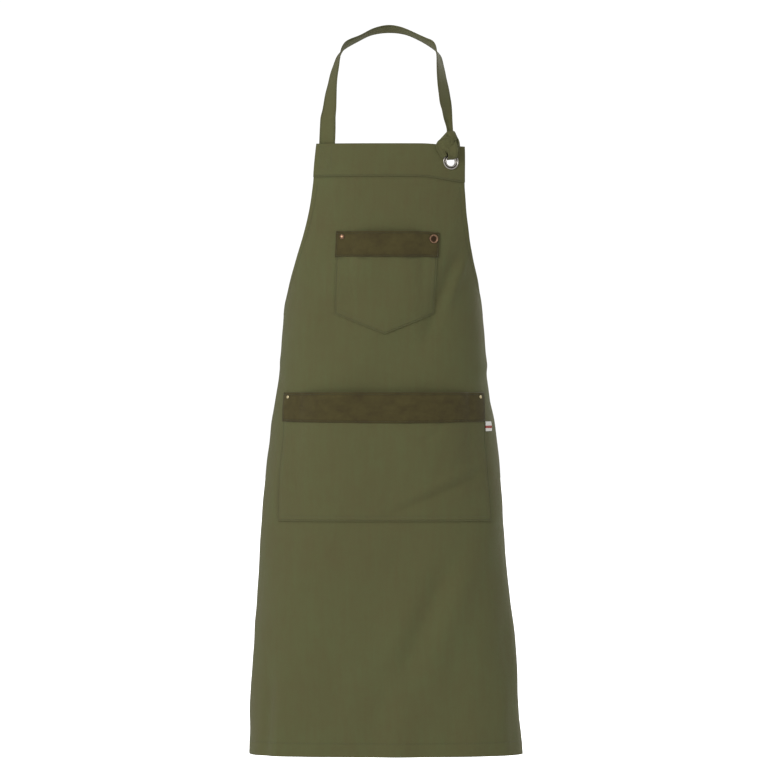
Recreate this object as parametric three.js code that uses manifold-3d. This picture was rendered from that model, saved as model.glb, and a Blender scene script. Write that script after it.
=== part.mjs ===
// Bib apron hung by its neck loop: a canvas sheet in the shape it takes when worn, two
// pockets with suede bindings, a neck strap knotted through an eyelet, and waist ties
// knotted behind. Millimetres, +Z up, the front faces -Y.
//
// The cloth is laid out in two flat measures: "across", from the centre line, and "drop",
// down from the top edge. wornPoint() puts such a point on the wearer's shape.
import * as THREE from "three";
import { mergeVertices } from "three/addons/utils/BufferGeometryUtils.js";
import Module from "manifold-3d";

// Main sheet, as it lies flat
const sheetLength = 950;
const sheetTopWidth = 236;
const sheetSideWidth = 550;
const sheetHemWidth = 610;
const sideCornerDrop = 320;
const armholeBend = 2.8;
const waistFoldDrop = 352;

// Layers and the room left between them
const clothThickness = 1.2;
const suedeThickness = 1.6;
const seamGap = 0.8;
const fitGap = 0.4;
const capGap = 0.8;

// Top band and eyelet
const bandHeight = 53;
const eyeletAcross = 96;
const eyeletDrop = 28.5;
const eyeletHole = 17;
const eyeletWidth = 25;
const eyeletWall = 0.7;

// Chest pocket
const chestPocket = {
  centre: 2, width: 158, drop: 138, sideHeight: 127, height: 159, gape: 9,
  trimHeight: 40, trimOverhang: 1.5, gathered: 0.7, columns: 14, rows: 5,
};
// Waist pocket
const waistPocket = {
  centre: 0, width: 336, drop: 388, sideHeight: 198, height: 198, gape: 11,
  trimHeight: 43, trimOverhang: 1.5, gathered: 0.8, columns: 24, rows: 6,
};

// Rivets, measured across from the pocket's side edge and down from its mouth
const rivet = { capWidth: 8, footWidth: 8, capHeight: 2, shankWidth: 3.2, inset: 9, drop: 7 };
const badge = { capWidth: 13, footWidth: 8, capHeight: 1.8, shankWidth: 3.2, inset: 8, drop: 9 };
const smallRivet = {
  capWidth: 6.4, footWidth: 6.4, capHeight: 1.6, shankWidth: 2.6, inset: 10, drop: 7,
};

// Woven label in the waist pocket's side seam
const label = { width: 11.5, height: 15, thickness: 1, belowTrim: 2 };

// Neck strap
const strapWidth = 26;
const strapThickness = 2;
const strapSeamLength = 45;
const neckFoldRise = 30;
const gatheredStrap = { width: 14, thickness: 4 };
const strapSewnAcross = -91;

// Waist ties
const tieWidth = 28;
const tieThickness = 2;
const tieSeamLength = 14;
const tieSeamRoom = 0.5;
const tieKnotProud = 2;
const tieKnotSize = { width: 30, depth: 20, height: 32 };
const bowLength = 92;
const tailLength = 240;

// The wearer's shape: pairs of drop and measure
const halfBreadth = [[0, 168], [120, 154], [228, 151], [305, 158], [367, 163.5], [429, 174],
  [491, 180.5], [553, 186.5], [646, 192], [770, 201.5], [950, 212]];
const frontDepth = [[0, 92], [150, 112], [300, 100], [390, 108], [550, 112], [950, 105]];
const sideLean = [[0, 6], [228, -3], [370, -5], [650, -5], [950, 0]];
const backDepth = 95;
const squareness = 2.4;

const wasm = await Module();
wasm.setup();

const colours = {
  canvas: { color: 0x5a5a3d, roughness: 0.9 },
  suede: { color: 0x494229, roughness: 0.95 },
  copper: { color: 0x8a6238, roughness: 0.4, metalness: 1 },
  brass: { color: 0xb09a5e, roughness: 0.4, metalness: 1 },
  nickel: { color: 0x8d8a80, roughness: 0.35, metalness: 1 },
  label: { color: 0xe8e6df, roughness: 0.8 },
};

const apron = new THREE.Group();

function addPiece(name, geometry, finish, parent = apron) {
  const mesh = new THREE.Mesh(geometry, new THREE.MeshStandardMaterial(colours[finish]));
  mesh.name = name;
  parent.add(mesh);
  return mesh;
}

// Smooth curve through pairs of (drop, measure), straight beyond its ends
function measureAt(pairs, drop) {
  const slope = (i) => {
    const low = Math.max(i - 1, 0);
    const high = Math.min(i + 1, pairs.length - 1);
    return (pairs[high][1] - pairs[low][1]) / (pairs[high][0] - pairs[low][0]);
  };
  const last = pairs.length - 1;
  if (drop <= pairs[0][0]) return pairs[0][1] + slope(0) * (drop - pairs[0][0]);
  if (drop >= pairs[last][0]) return pairs[last][1] + slope(last) * (drop - pairs[last][0]);
  const i = pairs.findIndex((pair) => pair[0] > drop) - 1;
  const span = pairs[i + 1][0] - pairs[i][0];
  const t = (drop - pairs[i][0]) / span;
  const bend = (1 - t) * slope(i) * span + t * slope(i + 1) * span;
  const rise = pairs[i + 1][1] - pairs[i][1];
  return pairs[i][1] + rise * t + t * (1 - t) * (1 - 2 * t) * (bend - rise);
}

// One level of the wearer's shape as a table of length along it, from front centre to back
const levels = new Map();
function levelAt(drop) {
  if (!levels.has(drop)) {
    const steps = 240;
    const breadth = measureAt(halfBreadth, drop);
    const front = measureAt(frontDepth, drop);
    const table = [];
    let length = 0;
    for (let i = 0; i <= steps; i += 1) {
      const angle = (Math.PI * i) / steps;
      const side = Math.pow(Math.abs(Math.sin(angle)), 2 / squareness);
      const reach = Math.pow(Math.abs(Math.cos(angle)), 2 / squareness);
      const x = breadth * side;
      const y = i * 2 < steps ? -front * reach : backDepth * reach;
      if (i > 0) length += Math.hypot(x - table[i - 1].x, y - table[i - 1].y);
      table.push({ length, x, y });
    }
    levels.set(drop, table);
  }
  return levels.get(drop);
}

function surfacePoint(across, drop) {
  const table = levelAt(drop);
  const length = Math.min(Math.abs(across), table[table.length - 1].length);
  let high = table.findIndex((entry) => entry.length >= length);
  high = Math.max(high, 1);
  const start = table[high - 1];
  const end = table[high];
  const t = (length - start.length) / (end.length - start.length);
  const x = THREE.MathUtils.lerp(start.x, end.x, t) * (across < 0 ? -1 : 1);
  return new THREE.Vector3(x + measureAt(sideLean, drop), THREE.MathUtils.lerp(start.y, end.y, t), -drop);
}

function outward(across, drop) {
  const step = 3;
  const along = surfacePoint(across + step, drop).sub(surfacePoint(across - step, drop));
  const down = surfacePoint(across, drop + step).sub(surfacePoint(across, drop - step));
  return down.cross(along).normalize();
}

function wornPoint(across, drop, lift = 0) {
  return surfacePoint(across, drop).addScaledVector(outward(across, drop), lift);
}

function sheetHalfWidth(drop) {
  if (drop < sideCornerDrop) {
    const flare = Math.pow(Math.max(drop, 0) / sideCornerDrop, armholeBend);
    return (sheetTopWidth + (sheetSideWidth - sheetTopWidth) * flare) / 2;
  }
  const t = (drop - sideCornerDrop) / (sheetLength - sideCornerDrop);
  return THREE.MathUtils.lerp(sheetSideWidth, sheetHemWidth, t) / 2;
}

// Closed body from rings of points, each ring a closed outline, with flat ends
function loft(rings) {
  const size = rings[0].length;
  const points = rings.flat();
  const faces = [];
  for (let i = 0; i + 1 < rings.length; i += 1) {
    for (let j = 0; j < size; j += 1) {
      const next = (j + 1) % size;
      const a = i * size + j;
      const b = i * size + next;
      faces.push([a, b, b + size], [a, b + size, a + size]);
    }
  }
  const flat = rings[0].map((point) => flatten(point, rings[0]));
  for (const [a, b, c] of THREE.ShapeUtils.triangulateShape(flat, [])) {
    const end = (rings.length - 1) * size;
    faces.push([c, b, a], [end + a, end + b, end + c]);
  }
  return closedGeometry(points, faces);
}

// A ring's points in the plane of the ring, for filling its end
function flatten(point, ring) {
  const origin = ring[0];
  const right = ring[1].clone().sub(origin).normalize();
  const normal = new THREE.Vector3();
  ring.forEach((corner, i) => {
    const next = ring[(i + 1) % ring.length];
    normal.add(corner.clone().sub(origin).cross(next.clone().sub(origin)));
  });
  const up = normal.normalize().cross(right);
  const offset = point.clone().sub(origin);
  return new THREE.Vector2(offset.dot(right), offset.dot(up));
}

function closedGeometry(points, faces) {
  const geometry = new THREE.BufferGeometry();
  geometry.setAttribute("position", new THREE.Float32BufferAttribute(
    points.flatMap((point) => point.toArray()), 3));
  geometry.setIndex(faces.flat());
  const solid = solidFrom(geometry);
  return solid.volume() > 0 ? geometry : turnedInsideOut(geometry);
}

function turnedInsideOut(geometry) {
  const index = geometry.getIndex().array;
  for (let i = 0; i < index.length; i += 3) {
    [index[i + 1], index[i + 2]] = [index[i + 2], index[i + 1]];
  }
  return geometry;
}

// Cloth plate between an outer and an inner skin over a grid of columns and rows
function plate(columns, rows, outerPoint, innerPoint) {
  const points = [];
  for (const skin of [outerPoint, innerPoint]) {
    for (let row = 0; row <= rows; row += 1) {
      for (let column = 0; column <= columns; column += 1) {
        points.push(skin((2 * column) / columns - 1, row / rows));
      }
    }
  }
  const stride = columns + 1;
  const under = stride * (rows + 1);
  const faces = [];
  const quad = (a, b, c, d) => faces.push([a, b, c], [a, c, d]);
  for (let row = 0; row < rows; row += 1) {
    for (let column = 0; column < columns; column += 1) {
      const a = row * stride + column;
      quad(a, a + stride, a + stride + 1, a + 1);
      quad(under + a, under + a + 1, under + a + stride + 1, under + a + stride);
    }
  }
  for (let column = 0; column < columns; column += 1) {
    const foot = rows * stride + column;
    quad(column, column + 1, under + column + 1, under + column);
    quad(foot + 1, foot, under + foot, under + foot + 1);
  }
  for (let row = 0; row < rows; row += 1) {
    const left = row * stride;
    const right = left + columns;
    quad(left + stride, left, under + left, under + left + stride);
    quad(right, right + stride, under + right + stride, under + right);
  }
  return closedGeometry(points, faces);
}

function solidFrom(geometry) {
  const bare = geometry.clone();
  bare.deleteAttribute("normal");
  bare.deleteAttribute("uv");
  const merged = mergeVertices(bare, 1e-4);
  return new wasm.Manifold(new wasm.Mesh({
    numProp: 3,
    vertProperties: new Float32Array(merged.attributes.position.array),
    triVerts: new Uint32Array(merged.index.array),
  }));
}

function geometryFrom(solid) {
  const { vertProperties, triVerts, numProp } = solid.getMesh();
  const geometry = new THREE.BufferGeometry();
  const positions = [];
  for (let i = 0; i < vertProperties.length; i += numProp) {
    positions.push(vertProperties[i], vertProperties[i + 1], vertProperties[i + 2]);
  }
  geometry.setAttribute("position", new THREE.Float32BufferAttribute(positions, 3));
  geometry.setIndex([...triVerts]);
  return geometry;
}

function cutAway(geometry, cutters) {
  let solid = solidFrom(geometry);
  for (const cutter of cutters) solid = solid.subtract(solidFrom(cutter));
  return geometryFrom(solid);
}

const lathePole = new THREE.Vector3(0, 1, 0);

// Straight round cutter through every layer at a point of the cloth
function drill(across, drop, width) {
  const reach = 30;
  const geometry = new THREE.CylinderGeometry(width / 2, width / 2, 2 * reach, 20);
  geometry.applyQuaternion(new THREE.Quaternion().setFromUnitVectors(lathePole, outward(across, drop)));
  geometry.translate(...wornPoint(across, drop).toArray());
  return geometry;
}

// Turned piece standing on the cloth, its profile in (radius, height above the surface)
function addTurned(name, profile, across, drop, finish, segments = 14) {
  const points = profile.map(([radius, height]) => new THREE.Vector2(radius, height));
  const mesh = addPiece(name, new THREE.LatheGeometry(points, segments), finish);
  mesh.quaternion.setFromUnitVectors(lathePole, outward(across, drop));
  mesh.position.copy(wornPoint(across, drop));
  return mesh;
}

// Flat band along a smooth path, its broad side facing the given direction at each point.
// Width and thickness are numbers, or functions of the share of the path.
function ribbon(path, facing, width, thickness, steps) {
  const centre = new THREE.CatmullRomCurve3(path.map((p) => new THREE.Vector3(...p)));
  const toward = new THREE.CatmullRomCurve3(facing.map((p) => new THREE.Vector3(...p)));
  const widthAt = typeof width === "function" ? width : () => width;
  const thicknessAt = typeof thickness === "function" ? thickness : () => thickness;
  const rings = [];
  for (let i = 0; i <= steps; i += 1) {
    const t = i / steps;
    const position = centre.getPoint(t);
    const tangent = centre.getTangent(t);
    const broad = new THREE.Vector3().crossVectors(tangent, toward.getPoint(t)).normalize();
    const normal = new THREE.Vector3().crossVectors(broad, tangent).normalize();
    rings.push([[1, 1], [1, -1], [-1, -1], [-1, 1]].map(([side, face]) => position.clone()
      .addScaledVector(broad, (side * widthAt(t)) / 2)
      .addScaledVector(normal, (face * thicknessAt(t)) / 2)));
  }
  return loft(rings);
}

// Heights of the stitched layers above the sheet's outer face
const firstLayer = seamGap;
const secondLayer = firstLayer + clothThickness + fitGap;
const sheetBack = -clothThickness;
const bandFront = firstLayer + clothThickness;
const bandBack = sheetBack - seamGap - clothThickness;

// Main sheet, in one piece of cloth that folds at the waist
const foldGap = 0.6;
function sheetPart(topDrop, footDrop, rows) {
  const columns = 36;
  const skin = (lift) => (s, t) => {
    const drop = THREE.MathUtils.lerp(topDrop, footDrop, t);
    return wornPoint(s * sheetHalfWidth(drop), drop, lift);
  };
  return plate(columns, rows, skin(0), skin(sheetBack));
}

function pocketGape(pocket, s, t) {
  const acrossShare = 1 - Math.pow(Math.min(1, Math.abs(s) / pocket.gathered), 4);
  return pocket.gape * acrossShare * (1 - t * t);
}

function pocketPoint(pocket, s, t, lift) {
  const height = pocket.sideHeight + (pocket.height - pocket.sideHeight) * (1 - Math.abs(s));
  const across = pocket.centre + (s * pocket.width) / 2;
  return wornPoint(across, pocket.drop + t * height, lift + pocketGape(pocket, s, t));
}

function pocketBody(pocket) {
  return plate(pocket.columns, pocket.rows,
    (s, t) => pocketPoint(pocket, s, t, firstLayer + clothThickness),
    (s, t) => pocketPoint(pocket, s, t, firstLayer));
}

function pocketTrim(pocket) {
  const rows = 3;
  const rise = 1;
  const skin = (lift) => (s, t) => {
    const across = pocket.centre + s * (pocket.width / 2 + pocket.trimOverhang);
    const shareDown = (t * pocket.trimHeight) / pocket.height;
    const gape = pocketGape(pocket, s, shareDown);
    return wornPoint(across, pocket.drop - rise + t * pocket.trimHeight, lift + gape);
  };
  return plate(pocket.columns, rows, skin(secondLayer + suedeThickness), skin(secondLayer));
}

function fastenerPlace(pocket, fastener, side) {
  const across = pocket.centre + side * (pocket.width / 2 - fastener.inset);
  return [across, pocket.drop + fastener.drop];
}

function fastenerDrills(pocket, fasteners) {
  return fasteners.map(([fastener, side]) => {
    const [across, drop] = fastenerPlace(pocket, fastener, side);
    return drill(across, drop, fastener.shankWidth + 2 * fitGap);
  });
}

// Domed cap with its shank in front, and a domed foot that closes it behind
function addFastener(name, pocket, fastener, side, finish) {
  const [across, drop] = fastenerPlace(pocket, fastener, side);
  const cap = fastener.capWidth / 2;
  const shank = fastener.shankWidth / 2;
  const seat = secondLayer + suedeThickness + capGap;
  const foot = sheetBack - capGap;
  const shankEnd = foot - 0.8;
  const footDepth = 1.6;
  addTurned(name, [[0, shankEnd], [shank, shankEnd], [shank, seat], [cap, seat],
    [cap, seat + 0.3 * fastener.capHeight], [0.7 * cap, seat + 0.85 * fastener.capHeight],
    [0, seat + fastener.capHeight]], across, drop, finish);
  const socket = shank + fitGap;
  const heel = fastener.footWidth / 2;
  addTurned(`${name}_back`, [[0, shankEnd - footDepth], [0.6 * heel, shankEnd - footDepth],
    [heel, foot - 0.6], [heel, foot], [socket, foot], [socket, shankEnd - fitGap],
    [0, shankEnd - fitGap]], across, drop, finish);
}

const chestFasteners = [[rivet, -1], [badge, 1]];
const waistFasteners = [[smallRivet, -1], [smallRivet, 1]];
const chestDrills = fastenerDrills(chestPocket, chestFasteners);
const waistDrills = fastenerDrills(waistPocket, waistFasteners);
const eyeletDrill = drill(eyeletAcross, eyeletDrop, eyeletHole + 2 * eyeletWall + 2 * fitGap);

const foldedEdge = 1;
addPiece("bib_panel", cutAway(sheetPart(foldedEdge, waistFoldDrop - foldGap / 2, 11),
  [...chestDrills, eyeletDrill]), "canvas");
addPiece("skirt_panel", cutAway(sheetPart(waistFoldDrop + foldGap / 2, sheetLength, 13),
  waistDrills), "canvas");

// Band folded over the top edge, in front of the sheet and behind it
function topBand() {
  const columns = 20;
  const rows = [0.3, 0.6, 1].map((share) => share * bandHeight);
  const sheetTop = foldedEdge - seamGap;
  const outline = [
    ...rows.toReversed().map((drop) => [drop, bandFront]),
    [sheetTop - clothThickness, bandFront],
    [sheetTop - clothThickness, bandBack],
    ...rows.map((drop) => [drop, bandBack]),
    ...rows.toReversed().map((drop) => [drop, sheetBack - seamGap]),
    [sheetTop, sheetBack - seamGap],
    [sheetTop, firstLayer],
    ...rows.map((drop) => [drop, firstLayer]),
  ];
  const rings = [];
  for (let column = 0; column <= columns; column += 1) {
    const s = (2 * column) / columns - 1;
    rings.push(outline.map(([drop, lift]) => wornPoint(s * sheetHalfWidth(drop), drop, lift)));
  }
  return loft(rings);
}
addPiece("top_band", cutAway(topBand(), [eyeletDrill]), "canvas");

// Two-part eyelet: a rolled flange with its barrel, and the washer it closes on
const eyeletInner = eyeletHole / 2;
const eyeletBarrel = eyeletInner + eyeletWall;
const eyeletOuter = eyeletWidth / 2;
const eyeletSeat = bandFront + capGap;
const eyeletFoot = bandBack - capGap;
addTurned("eyelet", [[eyeletInner, eyeletFoot - 1.4], [eyeletBarrel, eyeletFoot - 1.4],
  [eyeletBarrel, eyeletSeat], [eyeletOuter, eyeletSeat], [eyeletOuter, eyeletSeat + 0.6],
  [eyeletOuter - 1, eyeletSeat + 1.2], [eyeletBarrel + 1, eyeletSeat + 1.2],
  [eyeletBarrel, eyeletSeat + 1.9], [eyeletInner, eyeletSeat + 1.2],
  [eyeletInner, eyeletFoot - 1.4]], eyeletAcross, eyeletDrop, "nickel", 24);
addTurned("eyelet_washer", [[eyeletBarrel + fitGap, eyeletFoot - 1], [eyeletOuter - 0.5, eyeletFoot - 1],
  [eyeletOuter, eyeletFoot], [eyeletBarrel + fitGap, eyeletFoot],
  [eyeletBarrel + fitGap, eyeletFoot - 1]], eyeletAcross, eyeletDrop, "nickel", 24);

// Pockets, their suede bindings and their rivets
addPiece("chest_pocket", cutAway(pocketBody(chestPocket), chestDrills), "canvas");
addPiece("chest_pocket_trim", cutAway(pocketTrim(chestPocket), chestDrills), "suede");
addFastener("chest_rivet", chestPocket, rivet, -1, "copper");
addFastener("chest_badge", chestPocket, badge, 1, "copper");
addPiece("waist_pocket", cutAway(pocketBody(waistPocket), waistDrills), "canvas");
addPiece("waist_pocket_trim", cutAway(pocketTrim(waistPocket), waistDrills), "suede");
addFastener("waist_rivet_left", waistPocket, smallRivet, -1, "brass");
addFastener("waist_rivet_right", waistPocket, smallRivet, 1, "brass");

// Label, standing out of the waist pocket's side seam
const labelStart = waistPocket.width / 2 + waistPocket.trimOverhang + seamGap;
const labelDrop = waistPocket.drop + waistPocket.trimHeight + label.belowTrim;
const labelSkin = (lift) => (s, t) => wornPoint(
  labelStart + ((s + 1) / 2) * label.width, labelDrop + t * label.height, lift);
addPiece("side_label", plate(3, 2, labelSkin(firstLayer + label.thickness), labelSkin(firstLayer)),
  "label");

// Neck strap: sewn behind the band at the left, then over the neck to the knot at the right
const strapLift = bandBack - capGap - fitGap - strapThickness / 2;
const sewnTop = wornPoint(strapSewnAcross, 0, strapLift);
const knotCentre = wornPoint(eyeletAcross - 5, 0, bandFront + 10);
knotCentre.z = 5;
const knotSize = { width: 33, depth: 18, height: 23 };
const strapRightEnd = [knotCentre.x - 1.5, sewnTop.y, neckFoldRise + foldGap / 2];
const strapLeftEnd = [sewnTop.x, sewnTop.y, neckFoldRise + foldGap / 2];
const aboveFold = ([x, y, z]) => [x, y, z + 9];
const strapPath = [strapLeftEnd, aboveFold(strapLeftEnd), [-90, -71, 52], [-86, -58, 83], [-80, -38, 115], [-70, -12, 141],
  [-58, 16, 152], [-40, 40, 163.5], [-19, 56, 172], [3, 62, 176], [26, 57, 173], [48, 42, 165],
  [66, 17, 153.5], [78, -12, 141], [84, -38, 115], [87, -58, 88], [94, -71, 54],
  aboveFold(strapRightEnd), strapRightEnd];
const strapFacing = [[0, -1, 0], [-0.1, -1, 0], [-0.35, -0.9, 0.2], [-0.5, -0.75, 0.3], [-0.75, -0.5, 0.4],
  [-0.8, -0.15, 0.55], [-0.68, 0.15, 0.7], [-0.45, 0.35, 0.8], [-0.2, 0.45, 0.85], [0, 0.5, 0.85],
  [0.2, 0.45, 0.85], [0.45, 0.35, 0.8], [0.68, 0.15, 0.7], [0.8, -0.15, 0.55], [0.75, -0.5, 0.4],
  [0.5, -0.75, 0.3], [0.35, -0.9, 0.2], [0.1, -1, 0], [0, -1, 0]];
const foldEdge = 0.4;
const sharpened = (thickness, sharpEnds) => (t) => (
  sharpEnds.some((end) => Math.abs(t - end) < 1e-6) ? foldEdge : thickness);
const strapTaper = (t) => THREE.MathUtils.lerp(strapWidth, gatheredStrap.width,
  THREE.MathUtils.smoothstep(t, 0.85, 1));
addPiece("neck_strap", ribbon(strapPath, strapFacing, strapTaper,
  sharpened(strapThickness, [0, 1]), 44), "canvas");

const sewnFoot = wornPoint(strapSewnAcross, strapSeamLength, strapLift);
const sewnPath = [sewnFoot.toArray(), sewnTop.toArray(),
  [sewnTop.x, sewnTop.y, neckFoldRise - foldGap / 2]];
const bandFacing = outward(strapSewnAcross, 0).toArray();
addPiece("strap_sewn_end", ribbon(sewnPath, [bandFacing, bandFacing, [0, -1, 0]], strapWidth,
  sharpened(strapThickness, [1]), 16), "canvas");

// Knot in front of the band with the gathered strap that enters it from above, the turn
// through the eyelet and the short free end
function knotBody(growth) {
  const geometry = new THREE.SphereGeometry(0.5, 16, 10);
  geometry.rotateX(Math.PI / 2);
  geometry.scale(knotSize.width + growth, knotSize.depth + growth, knotSize.height + growth);
  geometry.translate(knotCentre.x, knotCentre.y, knotCentre.z);
  return geometry;
}
const knotNeckPath = [[knotCentre.x, knotCentre.y + 2, knotCentre.z + 4],
  [knotCentre.x, knotCentre.y + 8, knotCentre.z + 14],
  [strapRightEnd[0], strapRightEnd[1], neckFoldRise - 5],
  [strapRightEnd[0], strapRightEnd[1], neckFoldRise - foldGap / 2]];
const knotNeck = ribbon(knotNeckPath, knotNeckPath.map(() => [0, -1, 0]), gatheredStrap.width,
  sharpened(gatheredStrap.thickness, [1]), 10);
addPiece("strap_knot", geometryFrom(solidFrom(knotBody(0)).add(solidFrom(knotNeck))), "canvas");

const turnWidth = 10;
const turnThickness = 4;
const eyeletNormal = outward(eyeletAcross, eyeletDrop);
const holeMiddle = wornPoint(eyeletAcross, eyeletDrop, (bandFront + bandBack) / 2);
const turnPoint = (rise, lift) => holeMiddle.clone().addScaledVector(eyeletNormal, lift)
  .add(new THREE.Vector3(0, 0, rise)).toArray();
const turnPath = [turnPoint(28, 12), turnPoint(20, 11.5), turnPoint(11, 9.5), turnPoint(4.6, 5.4),
  turnPoint(3.2, 0), turnPoint(4.6, -5.4), turnPoint(11, -9.5), turnPoint(24, -10.5),
  turnPoint(34, -6.5), turnPoint(37, 0), turnPoint(35, 6)];
const turnFacing = turnPath.map((point) => new THREE.Vector3(...point).sub(
  new THREE.Vector3(...turnPoint(18, 0))).toArray());
function eyeletRoom() {
  const ring = new THREE.LatheGeometry([[eyeletInner - fitGap, eyeletFoot - 1.4 - fitGap],
    [eyeletOuter + fitGap, eyeletFoot - 1.4 - fitGap], [eyeletOuter + fitGap, eyeletSeat + 1.9 + fitGap],
    [eyeletInner - fitGap, eyeletSeat + 1.9 + fitGap], [eyeletInner - fitGap, eyeletFoot - 1.4 - fitGap],
  ].map(([radius, height]) => new THREE.Vector2(radius, height)), 24);
  ring.applyQuaternion(new THREE.Quaternion().setFromUnitVectors(lathePole, eyeletNormal));
  ring.translate(...wornPoint(eyeletAcross, eyeletDrop).toArray());
  return ring;
}
addPiece("strap_eyelet_turn", cutAway(ribbon(turnPath, turnFacing, turnWidth, turnThickness, 30),
  [knotBody(2 * fitGap), eyeletRoom()]), "canvas");

const freeEndPath = [[knotCentre.x - 6, knotCentre.y - 1, 7], [knotCentre.x - 14, knotCentre.y - 2, 3],
  [knotCentre.x - 19, knotCentre.y - 1, -1]];
addPiece("strap_free_end", cutAway(ribbon(freeEndPath, freeEndPath.map(() => [0, -1, 0]), 16,
  strapThickness, 5), [knotBody(2 * fitGap)]), "canvas");

// Waist ties, from under the side corners round the back to a bow at its centre
const tieDrop = sideCornerDrop + 2 + tieWidth / 2;
const backCentre = levelAt(tieDrop).at(-1).length;
const tieKnotCentre = surfacePoint(backCentre, tieDrop)
  .add(new THREE.Vector3(0, tieKnotProud, 0));
tieKnotCentre.x = measureAt(sideLean, tieDrop);
function tieKnotBody(growth) {
  const geometry = new THREE.SphereGeometry(0.5, 12, 8);
  geometry.rotateX(Math.PI / 2);
  geometry.scale(tieKnotSize.width + growth, tieKnotSize.depth + growth, tieKnotSize.height + growth);
  geometry.translate(...tieKnotCentre.toArray());
  return geometry;
}
addPiece("tie_knot", tieKnotBody(0), "canvas");

function tieBand(side) {
  const start = sheetHalfWidth(tieDrop) - tieSeamLength;
  const end = backCentre - tieKnotSize.width / 4;
  const skin = (lift) => (s, t) => {
    const across = side * THREE.MathUtils.lerp(start, end, side * s * 0.5 + 0.5);
    return wornPoint(across, tieDrop + (t - 0.5) * tieWidth, lift);
  };
  const under = sheetBack - seamGap - tieSeamRoom;
  return cutAway(plate(20, 1, skin(under), skin(under - tieThickness)), [tieKnotBody(2 * fitGap)]);
}
addPiece("waist_tie_left", tieBand(-1), "canvas");
addPiece("waist_tie_right", tieBand(1), "canvas");

// Bow loops lie out sideways and down from the knot, each a flattened loop of tie
const bowThickness = 5;
const bowDroop = 0.45;
function bowLoop(side) {
  const from = tieKnotSize.width / 4;
  const path = [0, 0.35, 0.7, 1].map((share) => [
    tieKnotCentre.x + side * (from + share * bowLength * Math.cos(bowDroop)),
    tieKnotCentre.y + 2 * share * share,
    tieKnotCentre.z - share * bowLength * Math.sin(bowDroop)]);
  const loop = ribbon(path, path.map(() => [0, 1, 0]), tieWidth - 4, bowThickness, 8);
  return cutAway(loop, [tieKnotBody(2 * fitGap)]);
}
addPiece("bow_loop_left", bowLoop(-1), "canvas");
addPiece("bow_loop_right", bowLoop(1), "canvas");

// Tails hang from under the knot
const tailLift = 7.5;
const tailTop = tieKnotCentre.z - tieKnotSize.height / 2 + 3.4;
const tailSpread = 0.1;
const tailOffset = 14;
function tieTail(side) {
  const path = [0, 0.06, 0.35, 0.68, 1].map((share) => [
    tieKnotCentre.x + side * (tailOffset + tailSpread * Math.max(share - 0.06, 0) * tailLength),
    tieKnotCentre.y + tailLift, tailTop - share * tailLength]);
  return ribbon(path, path.map(() => [0, 1, 0]), tieWidth - 4, tieThickness, 10);
}
addPiece("tie_tail_left", tieTail(-1), "canvas");
addPiece("tie_tail_right", tieTail(1), "canvas");

// The origin is on the strap's inner face at the nape, where the loop hangs
const strapCrown = new THREE.Vector3(3, 62, 176);
const crownFacing = new THREE.Vector3(0, 0.5, 0.85).normalize();
const hangPoint = strapCrown.clone().addScaledVector(crownFacing, -strapThickness / 2);
apron.position.set(0, -hangPoint.y, -hangPoint.z);

export default apron;
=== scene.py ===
import math
import bpy
import numpy as np
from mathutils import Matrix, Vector


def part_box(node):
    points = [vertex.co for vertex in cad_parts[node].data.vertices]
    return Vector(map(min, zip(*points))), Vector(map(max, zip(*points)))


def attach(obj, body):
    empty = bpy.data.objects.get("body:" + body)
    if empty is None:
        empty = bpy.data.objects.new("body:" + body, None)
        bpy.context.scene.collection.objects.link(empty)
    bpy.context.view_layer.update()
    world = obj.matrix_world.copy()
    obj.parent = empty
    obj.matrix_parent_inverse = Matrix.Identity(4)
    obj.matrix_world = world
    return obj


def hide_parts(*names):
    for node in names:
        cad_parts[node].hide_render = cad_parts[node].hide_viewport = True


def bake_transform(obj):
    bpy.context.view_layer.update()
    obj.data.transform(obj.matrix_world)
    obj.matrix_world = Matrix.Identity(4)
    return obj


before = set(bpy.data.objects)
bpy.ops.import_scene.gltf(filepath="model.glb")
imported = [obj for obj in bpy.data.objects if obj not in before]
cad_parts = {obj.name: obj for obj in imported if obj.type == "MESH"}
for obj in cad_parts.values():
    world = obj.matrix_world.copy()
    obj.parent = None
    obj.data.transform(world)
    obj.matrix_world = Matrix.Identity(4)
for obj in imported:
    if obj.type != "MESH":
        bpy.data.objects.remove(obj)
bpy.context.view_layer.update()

mm = 0.001

# The shape that the worn cloth takes, as pairs of drop below the top edge and measure
wornShape = {
    "halfBreadth": [(0, 168), (120, 154), (228, 151), (305, 158), (367, 163.5), (429, 174),
                    (491, 180.5), (553, 186.5), (646, 192.5), (770, 203), (950, 214.5)],
    "frontDepth": [(0, 92), (150, 112), (300, 100), (390, 108), (550, 112), (950, 105)],
    "sideLean": [(0, 7), (228, -3), (370, -5), (650, -5), (950, 0)],
    "backDepth": 95,
    "squareness": 2.4,
}

# The main sheet as it is cut, lying flat
sheetCut = {
    "length": 950, "topWidth": 233, "sideWidth": 550, "hemWidth": 610,
    "cornerDrop": 320, "armholeBend": 2.8, "armholeSwell": 11, "thickness": 0.9,
    "sideHem": 10, "sideSeam": 9, "footHem": 22, "footSeam": 21, "meshStep": 4.4,
}

bandRise = 1
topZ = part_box("top_band")[1].z / mm - bandRise
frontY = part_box("bib_panel")[0].y / mm + max(depth for drop, depth in wornShape["frontDepth"])


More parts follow.
